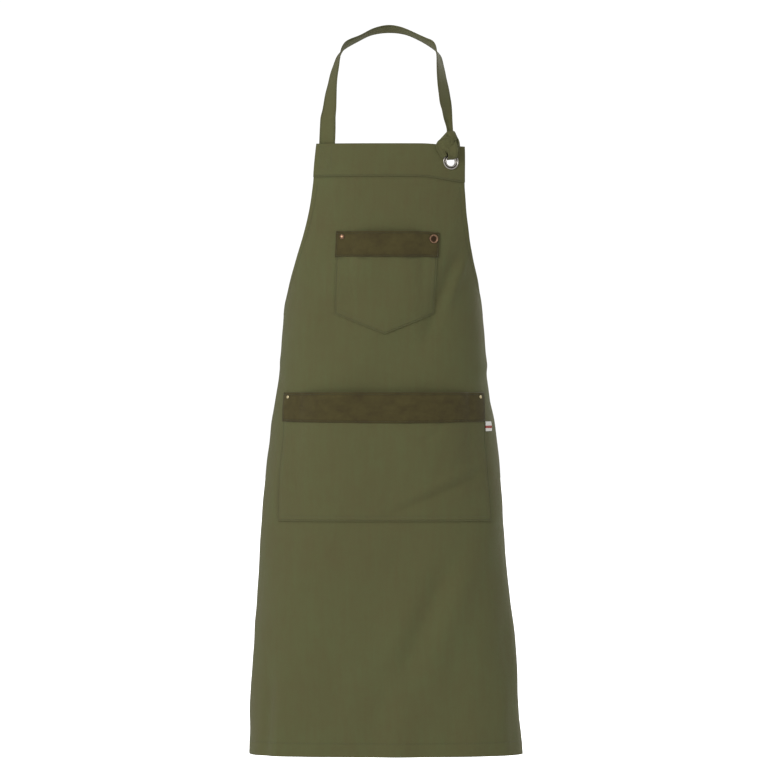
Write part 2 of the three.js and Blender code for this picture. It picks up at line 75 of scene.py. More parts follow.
def measureAt(pairs, drop):
    x = np.array([p[0] for p in pairs], float)
    y = np.array([p[1] for p in pairs], float)
    slope = np.empty_like(y)
    slope[1:-1] = (y[2:] - y[:-2]) / (x[2:] - x[:-2])
    slope[0] = (y[1] - y[0]) / (x[1] - x[0])
    slope[-1] = (y[-1] - y[-2]) / (x[-1] - x[-2])
    i = np.clip(np.searchsorted(x, drop, side="right") - 1, 0, len(x) - 2)
    span = x[i + 1] - x[i]
    t = np.clip((drop - x[i]) / span, 0, 1)
    rise = y[i + 1] - y[i]
    bend = (1 - t) * slope[i] * span + t * slope[i + 1] * span
    inside = y[i] + rise * t + t * (1 - t) * (1 - 2 * t) * (bend - rise)
    beyond = np.minimum(drop - x[0], 0) * slope[0] + np.maximum(drop - x[-1], 0) * slope[-1]
    return inside + beyond


arcSamples = 1201


def surfacePoint(across, drop):
    # the place that a point of the flat cloth takes, across being measured round the body
    across, drop = np.broadcast_arrays(np.asarray(across, float), np.asarray(drop, float))
    shape = across.shape
    u = across.ravel()
    d = np.round(drop.ravel(), 2)
    levels, place = np.unique(d, return_inverse=True)
    order = np.argsort(place, kind="stable")
    ends = np.searchsorted(place[order], np.arange(len(levels) + 1))
    angle = np.linspace(0, math.pi, arcSamples)
    power = 2 / wornShape["squareness"]
    sine = np.abs(np.sin(angle)) ** power
    cosine = np.abs(np.cos(angle)) ** power
    front = angle < math.pi / 2
    breadth = measureAt(wornShape["halfBreadth"], levels)
    depth = measureAt(wornShape["frontDepth"], levels)
    lean = measureAt(wornShape["sideLean"], levels)
    out = np.empty((len(u), 3))
    for k in range(len(levels)):
        x = breadth[k] * sine
        y = np.where(front, -depth[k] * cosine, wornShape["backDepth"] * cosine)
        length = np.concatenate([[0], np.cumsum(np.hypot(np.diff(x), np.diff(y)))])
        pick = order[ends[k]:ends[k + 1]]
        reach = np.abs(u[pick])
        out[pick, 0] = np.interp(reach, length, x) * np.where(u[pick] < 0, -1, 1) + lean[k]
        out[pick, 1] = np.interp(reach, length, y)
    out[:, 1] += frontY
    out[:, 2] = topZ - drop.ravel()
    return out.reshape(shape + (3,))


def outward(across, drop):
    # the direction that the cloth's outer face looks
    step = 4.0
    along = surfacePoint(across + step, drop) - surfacePoint(across - step, drop)
    down = surfacePoint(across, drop + step) - surfacePoint(across, drop - step)
    normal = np.cross(down, along)
    return normal / np.linalg.norm(normal, axis=-1, keepdims=True)


def smooth(low, high, value):
    t = np.clip((value - low) / (high - low), 0, 1)
    return t * t * (3 - 2 * t)


# Creases: a path of (across, drop), its half width, and its height or, below nought, its depth
creases = [
    ([(128, 150), (104, 200), (82, 262), (58, 325)], 13, -4.6),
    ([(136, 172), (116, 215), (96, 268)], 9, 3.8),
    ([(-122, 170), (-104, 235), (-80, 300)], 16, -1.5),
    ([(176, 505), (95, 540), (-17, 588)], 8, -3.2),
    ([(172, 492), (100, 524), (20, 560)], 8, 2.2),
    ([(104, 420), (80, 448), (50, 470)], 7, -1.2),
    ([(-118, 506), (-90, 512), (-62, 509)], 5, -0.9),
    ([(-96, 548), (-79, 555), (-60, 554)], 5, -0.8),
    ([(118, 632), (72, 722), (40, 788), (14, 852)], 20, -6.5),
    ([(150, 640), (110, 730), (78, 800), (60, 870)], 24, 4.2),
    ([(-182, 800), (-190, 860), (-196, 950)], 12, -3.4),
    ([(-160, 780), (-168, 860), (-172, 950)], 16, 2.4),
    ([(225, 352), (192, 368), (165, 382)], 9, -1.4),
    ([(228, 340), (190, 345), (150, 347)], 11, 0.9),
    ([(-230, 346), (-196, 362), (-162, 384)], 9, -1.4),
    ([(-232, 334), (-194, 340), (-145, 348)], 12, 0.8),
    ([(-60, 640), (-80, 760), (-88, 950)], 26, -2.2),
    ([(40, 660), (30, 780), (20, 950)], 30, 1.6),
    ([(196, 620), (206, 760), (216, 950)], 18, -3.0),
]
# Ripples: wave length across and down, phase, height, and the drops where it starts and is full
ripples = [
    (173, 900, 0.6, 1.5, 560, 900),
    (97, 1400, 2.1, 1.0, 640, 940),
    (61, 700, 4.0, 0.5, 700, 950),
    (210, 260, 1.1, 0.8, 0, 60),
    (120, 170, 3.3, 0.45, 0, 60),
]

slack = {"seed": 11, "waves": 16, "shortest": 26, "longest": 120, "slope": 0.013, "turn": 6.28}
slackDraw = np.random.default_rng(slack["seed"])
slackWaves = [(slack["shortest"] * (slack["longest"] / slack["shortest"]) ** slackDraw.random(),
               slackDraw.random() * math.pi, slackDraw.random() * slack["turn"])
              for _ in range(slack["waves"])]


def slackHeight(across, drop):
    # the small unevenness of cloth that hangs, with its waves bent so that none runs straight
    bent = across + 6 * np.sin(drop / 37 + 0.5), drop + 7 * np.sin(across / 43 + 1.9)
    height = np.zeros(np.broadcast(across, drop).shape)
    for length, turn, phase in slackWaves:
        run = (bent[0] * math.cos(turn) + 0.7 * bent[1] * math.sin(turn)) * 2 * math.pi / length
        height += slack["slope"] * length / slack["turn"] * np.sin(run + phase)
    return height


def foldHeight(across, drop):
    height = slackHeight(across, drop)
    for route, width, rise in creases:
        path = np.array(route, float)
        pieces = np.linalg.norm(np.diff(path, axis=0), axis=1)
        total = pieces.sum()
        nearest = np.full(height.shape, 1e9)
        share = np.zeros(height.shape)
        run = 0.0
        for a, b, size in zip(path[:-1], path[1:], pieces):
            t = ((across - a[0]) * (b[0] - a[0]) + (drop - a[1]) * (b[1] - a[1])) / size ** 2
            t = np.clip(t, 0, 1)
            away = np.hypot(across - a[0] - t * (b[0] - a[0]), drop - a[1] - t * (b[1] - a[1]))
            share = np.where(away < nearest, (run + t * size) / total, share)
            nearest = np.minimum(nearest, away)
            run += size
        fade = smooth(0, 0.3, share) * (1 - smooth(0.7, 1, share)) * 0.85 + 0.15
        if route[-1][1] == sheetCut["length"]:
            fade = smooth(0, 0.5, share)   # it runs out over the hem at its full height
        height += rise * fade * np.exp(-(nearest / width) ** 2)
    for waveAcross, waveDown, phase, size, start, full in ripples:
        wave = np.sin(2 * math.pi * (across / waveAcross + drop / waveDown) + phase)
        height += size * wave * smooth(start, full, drop)
    return height * smooth(-2, 60, drop)


topSag = {"corner": 8.5, "cornerFrom": 45, "cornerFull": 122, "atEdge": 0.55, "edge": 2.6}


def cornerSag(across, drop):
    # the top edge gives a little, and the corner that hangs from the knot drops more
    lower = topSag["atEdge"] + (1 - topSag["atEdge"]) * smooth(0, 53, drop)
    corner = topSag["corner"] * smooth(topSag["cornerFrom"], topSag["cornerFull"], across) * lower
    return corner * (1 - smooth(60, 220, drop)) + topSag["edge"] * (1 - smooth(0, 50, drop))


def onCloth(across, drop, lift=0.0):
    across, drop, lift = np.broadcast_arrays(
        np.asarray(across, float), np.asarray(drop, float), np.asarray(lift, float))
    rise = lift + foldHeight(across, drop)
    place = surfacePoint(across, drop) + outward(across, drop) * rise[..., None]
    place[..., 2] -= cornerSag(across, drop)
    return place


def sheetHalf(drop):
    cut = sheetCut
    flare = (np.clip(drop, 0, cut["cornerDrop"]) / cut["cornerDrop"]) ** cut["armholeBend"]
    upper = cut["topWidth"] + (cut["sideWidth"] - cut["topWidth"]) * flare
    share = np.clip(drop / cut["cornerDrop"], 0, 1)
    upper = upper + cut["armholeSwell"] * np.sin(math.pi * share) ** 0.7
    t = (drop - cut["cornerDrop"]) / (cut["length"] - cut["cornerDrop"])
    lower = cut["sideWidth"] + (cut["hemWidth"] - cut["sideWidth"]) * t
    return np.where(drop < cut["cornerDrop"], upper, lower) / 2


# Making meshes
def signedVolume(points, faces):
    total = 0.0
    for size in (3, 4):
        group = np.array([f for f in faces if len(f) == size])
        if len(group):
            for k in range(1, size - 1):
                a, b, c = points[group[:, 0]], points[group[:, k]], points[group[:, k + 1]]
                total += np.einsum("ij,ij->i", a, np.cross(b, c)).sum()
    return total


def addObject(name, data):
    made = bpy.data.objects.new(name, data)
    bpy.context.scene.collection.objects.link(made)
    return made


def makePiece(name, points, faces, flat, material, seam=None):
    # points are in millimetres, flat is each point's place on the flat cloth, seam how much painted
    # shade each point takes
    points = np.asarray(points, float)
    if signedVolume(points, faces) < 0:
        faces = [tuple(reversed(f)) for f in faces]
    mesh = bpy.data.meshes.new(name)
    mesh.from_pydata((points * mm).tolist(), [], faces)
    if flat is not None:
        layer = mesh.uv_layers.new(name="flat")
        corners = np.empty(len(mesh.loops), dtype=np.int32)
        mesh.loops.foreach_get("vertex_index", corners)
        layer.data.foreach_set("uv", (np.asarray(flat, float)[corners] * mm).ravel())
    if seam is not None:
        # the seam attribute: painted shade on cloth, and on metal the mask of patina in its hollows
        paintedSeamShade = mesh.attributes.new("seam", "FLOAT", "POINT")
        paintedSeamShade.data.foreach_set("value", np.asarray(seam, np.float32))
    mesh.polygons.foreach_set("use_smooth", [True] * len(mesh.polygons))
    mesh.materials.append(material)
    mesh.validate()
    mesh.update()
    return addObject(name, mesh)


def shellPiece(name, outer, inner, flat, material, seam=None, keep=None):
    # outer and inner are (rows, columns, 3) skins, joined wherever the cloth has an edge
    rows, columns = outer.shape[:2]
    count = rows * columns
    if keep is None:
        keep = np.ones((rows - 1, columns - 1), bool)
    faces = []
    edges = {}
    for i, j in np.argwhere(keep):
        a = int(i * columns + j)
        quad = (a, a + columns, a + columns + 1, a + 1)
        faces.append(quad)
        faces.append(tuple(k + count for k in reversed(quad)))
        for p, q in zip(quad, quad[1:] + quad[:1]):
            if (q, p) in edges:
                del edges[(q, p)]
            else:
                edges[(p, q)] = True
    faces += [(q, p, p + count, q + count) for p, q in edges]
    used = np.zeros(2 * count, bool)
    used[np.array([k for f in faces for k in f])] = True
    number = np.cumsum(used) - 1
    faces = [tuple(int(number[k]) for k in f) for f in faces]
    points = np.concatenate([outer.reshape(-1, 3), inner.reshape(-1, 3)])[used]
    plane = np.concatenate([flat.reshape(-1, 2), flat.reshape(-1, 2)])[used]
    # seam is the painted shade of each point, copied to both skins
    if seam is not None:
        seam = np.concatenate([seam.ravel(), seam.ravel()])[used]
    return makePiece(name, points, faces, plane, material, seam)


def cornersOf(squares):
    # the grid's points that touch any of the marked squares
    rows, columns = squares.shape
    corners = np.zeros((rows + 1, columns + 1), bool)
    for i in (0, 1):
        for j in (0, 1):
            corners[i:i + rows, j:j + columns] |= squares
    return corners


def layerPiece(name, across, drop, outer, inner, material, seam, keep=None):
    # a layer of cloth on the main sheet, between two heights above it, with seam as its painted
    # shade
    flat = np.stack([across, -drop], axis=-1)
    return shellPiece(name, onCloth(across, drop, outer), onCloth(across, drop, inner), flat,
                      material, np.minimum(seam, 1), keep)


def roundHole(across, drop, centre, radius):
    # clears the grid's squares inside a circle and draws their corners on to it
    away = np.hypot(across - centre[0], drop - centre[1])
    inside = away < radius
    keep = ~(inside[:-1, :-1] & inside[1:, :-1] & inside[:-1, 1:] & inside[1:, 1:])
    share = np.where(cornersOf(~keep) & cornersOf(keep), radius / np.maximum(away, 1e-6), 1)
    return centre[0] + (across - centre[0]) * share, centre[1] + (drop - centre[1]) * share, keep


def stations(low, high, step, rounding):
    # places from low to high, with close ones at both ends for a round edge
    near = np.array([0, 0.12, 0.35, 0.7, 1.2]) * rounding
    inner = np.linspace(low + near[-1], high - near[-1], max(3, int((high - low) / step)))
    return np.concatenate([low + near[:-1], inner, high - near[:-1][::-1]])


def edgeRound(distance, radius):
    # how far a rounded edge lies below the face, by the distance from the edge
    t = np.clip(1 - distance / radius, 0, 1)
    return radius * (1 - np.sqrt(np.maximum(1 - t * t, 0)))


def smoothPath(points, samples, even=False):
    points = np.asarray(points, float)
    gaps = np.linalg.norm(np.diff(points, axis=0), axis=1) ** 0.5
    knots = np.arange(len(points), dtype=float) if even else np.concatenate([[0], np.cumsum(gaps)])
    slope = np.empty_like(points)
    slope[1:-1] = (points[2:] - points[:-2]) / (knots[2:] - knots[:-2])[:, None]
    slope[0] = (points[1] - points[0]) / (knots[1] - knots[0])
    slope[-1] = (points[-1] - points[-2]) / (knots[-1] - knots[-2])
    at = np.linspace(0, knots[-1], samples)
    i = np.clip(np.searchsorted(knots, at, side="right") - 1, 0, len(knots) - 2)
    span = (knots[i + 1] - knots[i])[:, None]
    t = ((at - knots[i]) / (knots[i + 1] - knots[i]))[:, None]
    a = points[i] * (1 + 2 * t) * (1 - t) ** 2 + slope[i] * span * t * (1 - t) ** 2
    b = points[i + 1] * t * t * (3 - 2 * t) + slope[i + 1] * span * t * t * (t - 1)
    return a + b


def evenPath(points, step):
    # places at even steps, about one step apart, and the whole length
    fine = smoothPath(points, 2000)
    length = np.concatenate([[0], np.cumsum(np.linalg.norm(np.diff(fine, axis=0), axis=1))])
    count = max(4, int(length[-1] / step) + 1)
    at = np.linspace(0, length[-1], count)
    return np.stack([np.interp(at, length, fine[:, k]) for k in range(3)], axis=1), length[-1]


def bandFrames(path, facing, step):
    # the middle line of a band with the directions across it and out of its face
    line, length = evenPath(path, step)
    directions = smoothPath(facing, len(line), even=True)
    tangent = np.gradient(line, axis=0)
    tangent /= np.linalg.norm(tangent, axis=1, keepdims=True)
    broad = np.cross(tangent, directions)
    broad /= np.linalg.norm(broad, axis=1, keepdims=True)
    normal = np.cross(broad, tangent)
    return line, broad, normal, length


def ringFaces(rows, around):
    # the faces between closed rows of points that follow one another
    faces = []
    for i in range(rows - 1):
        for j in range(around):
            a, b = i * around + j, i * around + (j + 1) % around
            faces.append((a, b, b + around, a + around))
    return faces


def alongBand(value, share):
    # a measure that is one number or changes along the band
    return value(share) if callable(value) else np.full(len(share), float(value))


bandSeam = {"inset": 2.4, "width": 0.9, "depth": 0.16}
cupWidth = 26
bandSides = np.array([-1, -0.985, -0.94, -0.84, -0.68, -0.5, -0.33, -0.16, 0, 0.16, 0.33, 0.5, 0.68,
                      0.84, 0.94, 0.985, 1])


def bandPiece(name, path, facing, width, thickness, material, step=3.0, wave=0.0, cup=0.0):
    # a flat cloth band with rounded edges along a smooth path
    line, broad, normal, length = bandFrames(path, facing, step)
    share = np.linspace(0, 1, len(line))
    wide, thick, cupped = (alongBand(value, share) for value in (width, thickness, cup))
    side = np.concatenate([bandSides[::-1], bandSides[1:-1]])
    top = len(bandSides)
    around = len(side)
    outside = np.where(np.arange(around) < top, 1, -1)
    face = np.sqrt(np.maximum(1 - np.abs(side) ** 10, 0)) * outside
    run = share * length
    shiver = wave * (np.sin(run / 17.0 + 1.3) + 0.6 * np.sin(run / 7.3 + 0.4))
    points = []
    flat = []
    seam = []
    for k in range(len(line)):
        bend = cupped[k] * (side ** 2 - 0.4) * wide[k] / cupWidth
        inset = (1 - np.abs(side)) * wide[k] / 2
        stitched = np.exp(-((inset - bandSeam["inset"]) / bandSeam["width"]) ** 2)
        height = face * (thick[k] / 2 - bandSeam["depth"] * stitched) + bend
        height = height + shiver[k] * side * 0.6
        reach = side * wide[k] / 2
        points.append(line[k] + broad[k] * reach[:, None] + normal[k] * height[:, None])
        flat.append(np.stack([reach, np.full(around, run[k])], axis=1))
        # painted shade along the stitched lines
        seam.append(0.5 * stitched)
    faces = ringFaces(len(line), around)
    for first in (0, (len(line) - 1) * around):
        for j in range(top - 1):
            below, belowNext = (around - j) % around, (around - j - 1) % around
            ids = [first + j, first + j + 1, first + belowNext, first + below]
            if first == 0:
                ids.reverse()
            faces.append(tuple(dict.fromkeys(ids)))
    piece = makePiece(name, np.concatenate(points), faces, np.concatenate(flat), material,
                      np.concatenate(seam))
    return piece, length


def turnedPiece(name, profile, across, drop, material, segments=48, recesses=()):
    # a turned piece on the cloth, its profile as (radius, height above the surface)
    centre = onCloth(float(across), float(drop))
    axis = outward(np.array(float(across)), np.array(float(drop)))
    turn = Vector((0, 0, 1)).rotation_difference(Vector(axis)).to_matrix()
    points = []
    faces = []
    closed = profile[0] == profile[-1]
    rings = profile[:-1] if closed else profile
    index = []
    for radius, height in rings:
        if radius < 1e-6:
            index.append([len(points)] * segments)
            points.append((0, 0, height))
            continue
        index.append(list(range(len(points), len(points) + segments)))
        for j in range(segments):
            angle = 2 * math.pi * j / segments
            points.append((radius * math.cos(angle), radius * math.sin(angle), height))
    pairs = list(zip(index, index[1:])) + ([(index[-1], index[0])] if closed else [])
    for low, high in pairs:
        for j in range(segments):
            k = (j + 1) % segments
            ids = [low[j], low[k], high[k], high[j]]
            face = tuple(dict.fromkeys(ids))
            if len(face) > 2:
                faces.append(face)
    points = np.array(points)
    away = np.hypot(points[:, 0], points[:, 1])
    dark = np.zeros(len(points))
    for radius, width in recesses:
        dark = np.maximum(dark, np.exp(-((away - radius) / width) ** 2))
    return makePiece(name, points @ np.array(turn).T + centre, faces, None, material, dark)


# Shader node groups
def groupTree(name, inputs, outputs):
    tree = bpy.data.node_groups.new(name, "ShaderNodeTree")
    for label, kind, value in inputs:
        socket = tree.interface.new_socket(label, in_out="INPUT", socket_type=kind)
        if value is not None:
            socket.default_value = value
    for label, kind in outputs:
        tree.interface.new_socket(label, in_out="OUTPUT", socket_type=kind)
    return tree, tree.nodes.new("NodeGroupInput"), tree.nodes.new("NodeGroupOutput")


def mathNode(tree, operation, a, b=None, c=None):
    node = tree.nodes.new("ShaderNodeMath")
    node.operation = operation
    for k, value in enumerate((a, b, c)):
        if value is None:
            continue
        if isinstance(value, (int, float)):
            node.inputs[k].default_value = value
        else:
            tree.links.new(value, node.inputs[k])
    return node.outputs[0]


def times(tree, a, b):
    return mathNode(tree, "MULTIPLY", a, b)


def timesPlus(tree, a, b, c):
    return mathNode(tree, "MULTIPLY_ADD", a, b, c)


def feed(tree, node, **values):
    # sets a node's inputs, or joins another node's output to them
    for label, value in values.items():
        socket = node.inputs[label.replace("_", " ")]
        if isinstance(value, bpy.types.NodeSocket):
            tree.links.new(value, socket)
        else:
            socket.default_value = value
    return node


def newNode(tree, kind, **values):
    return feed(tree, tree.nodes.new(kind), **values)


def noiseNode(tree, place, scale, detail=3.0, roughness=0.55, distortion=0.0):
    return newNode(tree, "ShaderNodeTexNoise", Vector=place, Scale=scale, Detail=detail,
                   Roughness=roughness, Distortion=distortion).outputs[0]


def stretched(tree, place, x, y, z=1.0):
    node = newNode(tree, "ShaderNodeMapping", Vector=place, Scale=(x, y, z))
    node.vector_type = "TEXTURE"
    return node.outputs[0]


def makeWeaveGroup():
    # a two-up one-down twill: a fine diagonal over crossing threads, with uneven yarn
    tree, start, end = groupTree(
        "twillWeave",
        [("Flat", "NodeSocketVector", None), ("Thread pitch", "NodeSocketFloat", 0.0006)],
        [("Weave", "NodeSocketFloat"), ("Slub", "NodeSocketFloat")])
    parts = tree.nodes.new("ShaderNodeSeparateXYZ")
    tree.links.new(start.outputs["Flat"], parts.inputs[0])
    turns = mathNode(tree, "DIVIDE", 2 * math.pi, start.outputs["Thread pitch"])
    warp = times(tree, parts.outputs[0], turns)
    weft = times(tree, parts.outputs[1], turns)
    diagonal = mathNode(tree, "SINE", timesPlus(tree, weft, 0.5, warp))
    threads = mathNode(tree, "SINE", weft)
    weave = timesPlus(tree, threads, 0.35, times(tree, diagonal, 0.65))
    warpYarn = noiseNode(tree, stretched(tree, start.outputs["Flat"], 1.0, 22.0), 900, 2)
    weftYarn = noiseNode(tree, stretched(tree, start.outputs["Flat"], 22.0, 1.0), 900, 2)
    slub = times(tree, mathNode(tree, "ADD", warpYarn, weftYarn), 0.5)
    feed(tree, end, Weave=weave, Slub=slub)
    return tree


def makeMottleGroup():
    # clouds of three sizes, centred on a half
    tree, start, end = groupTree(
        "dyeMottle", [("Place", "NodeSocketVector", None)], [("Mottle", "NodeSocketFloat")])
    place = start.outputs["Place"]
    broad = noiseNode(tree, place, 9, 2)
    middle = noiseNode(tree, place, 42, 3, 0.6)
    small = noiseNode(tree, place, 240, 3, 0.6)
    total = timesPlus(tree, broad, 0.4, times(tree, middle, 0.35))
    total = timesPlus(tree, small, 0.25, total)
    feed(tree, end, Mottle=total)
    return tree


weaveGroup = makeWeaveGroup()
mottleGroup = makeMottleGroup()


def newMaterial(name):
    material = bpy.data.materials.new(name)
    material.use_nodes = True
    tree = material.node_tree
    shader = tree.nodes["Principled BSDF"]
    return material, tree, shader


def addGroup(tree, group, **values):
    node = tree.nodes.new("ShaderNodeGroup")
    node.node_tree = group
    return feed(tree, node, **values)


def flatPlace(tree):
    node = tree.nodes.new("ShaderNodeUVMap")
    node.uv_map = "flat"
    return node.outputs[0]


def objectPlace(tree):
    return tree.nodes.new("ShaderNodeTexCoord").outputs["Object"]


def rampNode(tree, value, stops):
    node = tree.nodes.new("ShaderNodeValToRGB")
    ramp = node.color_ramp
    while len(ramp.elements) < len(stops):
        ramp.elements.new(0.5)
    for element, (position, colour) in zip(ramp.elements, stops):
        element.position = position
        element.color = (*colour, 1)
    tree.links.new(value, node.inputs[0])
    return node.outputs[0]


def finishRamp(tree, tone, finish, reach):
    return rampNode(tree, tone, [(0.5 - reach, finish["dark"]), (0.5, finish["middle"]),
                                 (0.5 + reach, finish["light"])])


def seamShade(tree, colour, depth):
    # painted shade: darkens the base colour by the seam attribute, in place of the shade that
    # gathers in seams, under edges and beside pockets
    paintedSeamShade = tree.nodes.new("ShaderNodeAttribute")
    paintedSeamShade.attribute_name = "seam"
    keep = timesPlus(tree, paintedSeamShade.outputs["Fac"], -depth, 1.0)
    darker = tree.nodes.new("ShaderNodeVectorMath")
    darker.operation = "SCALE"
    tree.links.new(colour, darker.inputs[0])
    tree.links.new(keep, darker.inputs["Scale"])
    return darker.outputs[0]


def bumpNode(tree, shader, height, strength, distance, before=None):
    # adds a bump to a shader, over the one before it
    node = newNode(tree, "ShaderNodeBump", Strength=strength, Distance=distance, Height=height)
    if before is not None:
        feed(tree, node, Normal=before)
    feed(tree, shader, Normal=node.outputs[0])
    return node.outputs[0]


canvasFinish = {
    "dark": (0.094, 0.083, 0.033), "middle": (0.095, 0.0935, 0.0365),
    "light": (0.096, 0.105, 0.041),
    "threadPitch": 0.00062, "weaveDepth": 0.00011, "weaveBump": 0.6, "yarnBump": 0.35,
}
strapFinish = {**canvasFinish, "weaveBump": 0.25, "yarnBump": 0.12}


def clothMaterial(name, finish):
    material, tree, shader = newMaterial(name)
    flat = flatPlace(tree)
    weave = addGroup(tree, weaveGroup, Flat=flat, Thread_pitch=finish["threadPitch"])
    mottle = addGroup(tree, mottleGroup, Place=objectPlace(tree)).outputs["Mottle"]
    slub = weave.outputs["Slub"]
    streak = noiseNode(tree, stretched(tree, flat, 1.0, 9.0), 120, 3, 0.6)
    tone = timesPlus(tree, slub, 0.25, times(tree, mottle, 0.5))
    tone = timesPlus(tree, streak, 0.25, tone)
    tone = timesPlus(tree, weave.outputs["Weave"], 0.03, tone)
    colour = finishRamp(tree, tone, finish, 0.14)
    # painted shade from the seam attribute darkens the base colour
    feed(tree, shader, Base_Color=seamShade(tree, colour, 0.42),
         Roughness=timesPlus(tree, slub, 0.2, 0.76), Specular_IOR_Level=0.25, Sheen_Weight=0.04,
         Sheen_Roughness=0.5)
    yarn = bumpNode(tree, shader, slub, finish["yarnBump"], 0.0006)
    bumpNode(tree, shader, weave.outputs["Weave"], finish["weaveBump"], finish["weaveDepth"], yarn)
    return material


suedeFinish = {
    "dark": (0.049, 0.038, 0.015), "middle": (0.0595, 0.0485, 0.0175),
    "light": (0.070, 0.058, 0.021),
}


def suedeMaterial(name, finish):
    material, tree, shader = newMaterial(name)
    place = objectPlace(tree)
    brushed = noiseNode(tree, stretched(tree, place, 1.5, 1.0, 1.0), 75, 4, 0.65, 0.2)
    nap = noiseNode(tree, place, 900, 2, 0.7)
    tone = timesPlus(tree, nap, 0.3, times(tree, brushed, 0.7))
    colour = finishRamp(tree, tone, finish, 0.16)
    # painted shade from the seam attribute darkens the base colour
    feed(tree, shader, Base_Color=seamShade(tree, colour, 0.35),
         Roughness=timesPlus(tree, brushed, 0.15, 0.82), Specular_IOR_Level=0.15,
         Sheen_Weight=0.2, Sheen_Roughness=0.4)
    soft = bumpNode(tree, shader, brushed, 0.3, 0.001)
    bumpNode(tree, shader, nap, 0.7, 0.0004, soft)
    return material


def threadMaterial(name, dark, light):
    material, tree, shader = newMaterial(name)
    fibre = noiseNode(tree, objectPlace(tree), 1400, 2, 0.6)
    colour = rampNode(tree, fibre, [(0.35, dark), (0.65, light)])
    feed(tree, shader, Base_Color=colour, Roughness=0.6, Sheen_Weight=0.2)
    bumpNode(tree, shader, fibre, 0.5, 0.0001)
    return material


def metalMaterial(name, patina, worn, roughness):
    material, tree, shader = newMaterial(name)
    place = objectPlace(tree)
    tarnish = noiseNode(tree, place, 700, 3, 0.6)
    scratches = noiseNode(tree, stretched(tree, place, 6, 1, 1), 2500, 2)
    recess = tree.nodes.new("ShaderNodeAttribute")
    recess.attribute_name = "seam"
    even = timesPlus(tree, tarnish, 0.6, 0.22)
    rubbed = timesPlus(tree, recess.outputs["Fac"], -0.55, even)
    colour = rampNode(tree, rubbed, [(0.2, patina), (0.55, worn)])
    dull = timesPlus(tree, recess.outputs["Fac"], 0.25, roughness)
    feed(tree, shader, Base_Color=colour, Metallic=1, Roughness=timesPlus(tree, tarnish, 0.2, dull))
    bumpNode(tree, shader, scratches, 0.15, 0.0001)
    return material


def labelMaterial(name):
    material, tree, shader = newMaterial(name)
    flat = flatPlace(tree)
    weave = addGroup(tree, weaveGroup, Flat=flat, Thread_pitch=0.00035)
    parts = tree.nodes.new("ShaderNodeSeparateXYZ")
    tree.links.new(flat, parts.inputs[0])
    beyond = mathNode(tree, "GREATER_THAN", parts.outputs[1], -0.0105)
    before = mathNode(tree, "LESS_THAN", parts.outputs[1], -0.0065)
    stripe = times(tree, beyond, before)
    colour = rampNode(tree, stripe, [(0.3, (0.72, 0.71, 0.66)), (0.7, (0.33, 0.07, 0.05))])
    feed(tree, shader, Base_Color=colour, Roughness=0.8)
    bumpNode(tree, shader, weave.outputs["Weave"], 0.5, 0.0001)
    return material


canvas = clothMaterial("oliveCanvas", canvasFinish)
strapCanvas = clothMaterial("oliveStrapCanvas", strapFinish)
thread = threadMaterial("oliveThread", (0.058, 0.060, 0.025), (0.100, 0.100, 0.046))
suede = suedeMaterial("oliveSuede", suedeFinish)
copper = metalMaterial("antiqueCopper", (0.055, 0.034, 0.020), (0.46, 0.275, 0.175), 0.3)
brass = metalMaterial("paleBrass", (0.32, 0.25, 0.12), (0.70, 0.60, 0.36), 0.25)
nickel = metalMaterial("antiqueNickel", (0.075, 0.068, 0.058), (0.50, 0.47, 0.42), 0.2)
labelWeave = labelMaterial("whiteLabel")
print("materials made")


# The main sheet: front and skirt in one cut, hemmed at the sides and the foot
def along(low, high, step):
    return np.linspace(low, high, max(2, int(round((high - low) / step)) + 1))


def seamGroove(distance, run, at, depth=0.35, pucker=0.16):
    # a stitched line pulls the cloth in and puckers it on both sides
    groove = -depth * np.exp(-((distance - at) / 0.75) ** 2)
    wave = np.sin(run / 1.15 + 1.7 * np.sin(run / 9.1)) + 0.6 * np.sin(run / 2.3 + 0.8)
    return groove + pucker * wave * np.exp(-((distance - at) / 3.2) ** 2)


eyelet = {"across": 95, "drop": 23.5, "hole": 7.0, "barrel": 9.2, "clothHole": 9.5}
topBand = {"drop": 53, "front": 1.0, "back": -1.9, "frontInside": 0.15, "backInside": -1.05,
           "side": 0.5, "seam": 2.2}
chestPocket = {
    "name": "chestPocket", "centre": 2, "width": 158, "drop": 139.5, "sideHeight": 125.5,
    "height": 157.5, "splay": 0, "gape": 6, "gathered": 0.7, "trimHeight": 37.5,
    "overhang": 1.5, "dip": 0, "shade": 0.35,
}
waistPocket = {
    "name": "waistPocket", "centre": 3, "width": 336, "drop": 388.5, "sideHeight": 197.5,
    "height": 197.5, "splay": 8, "gape": 11, "gathered": 0.8, "trimHeight": 43,
    "overhang": 1.5, "dip": 2.5, "shade": 0.25,
}
pocketLayer = {
    "inside": 0.2, "outside": 1.15, "trimGap": 0.35, "trimThickness": 1.4, "trimAbove": 1.6,
    "seam": 2.4, "secondSeam": 4.8, "trimSeam": 2.6, "trimTopSeam": 3.2,
}
trimFace = pocketLayer["outside"] + pocketLayer["trimGap"] + pocketLayer["trimThickness"]


def splayAt(pocket, drop):
    # a pocket is sewn on a little wider toward its foot
    return pocket["splay"] * smooth(0, pocket["sideHeight"], drop - pocket["drop"])


def tallAt(pocket, s):
    # the height of a pocket, s being the share of its half width
    return pocket["sideHeight"] + (pocket["height"] - pocket["sideHeight"]) * (1 - np.abs(s))


def pocketGape(pocket, across, drop):
    # how far the pocket stands off the sheet, most at its mouth
    s = (across - pocket["centre"]) / (pocket["width"] / 2 + splayAt(pocket, drop))
    t = np.clip((drop - pocket["drop"]) / tallAt(pocket, s), 0, 1)
    sides = 1 - np.minimum(1, np.abs(s) / pocket["gathered"]) ** 4
    return pocket["gape"] * sides * (1 - t * t)


def paintedSeamShade(distance, at, width=1.1):
    # how much painted shade a seam at a distance from the edge puts on the cloth
    return np.exp(-((distance - at) / width) ** 2)


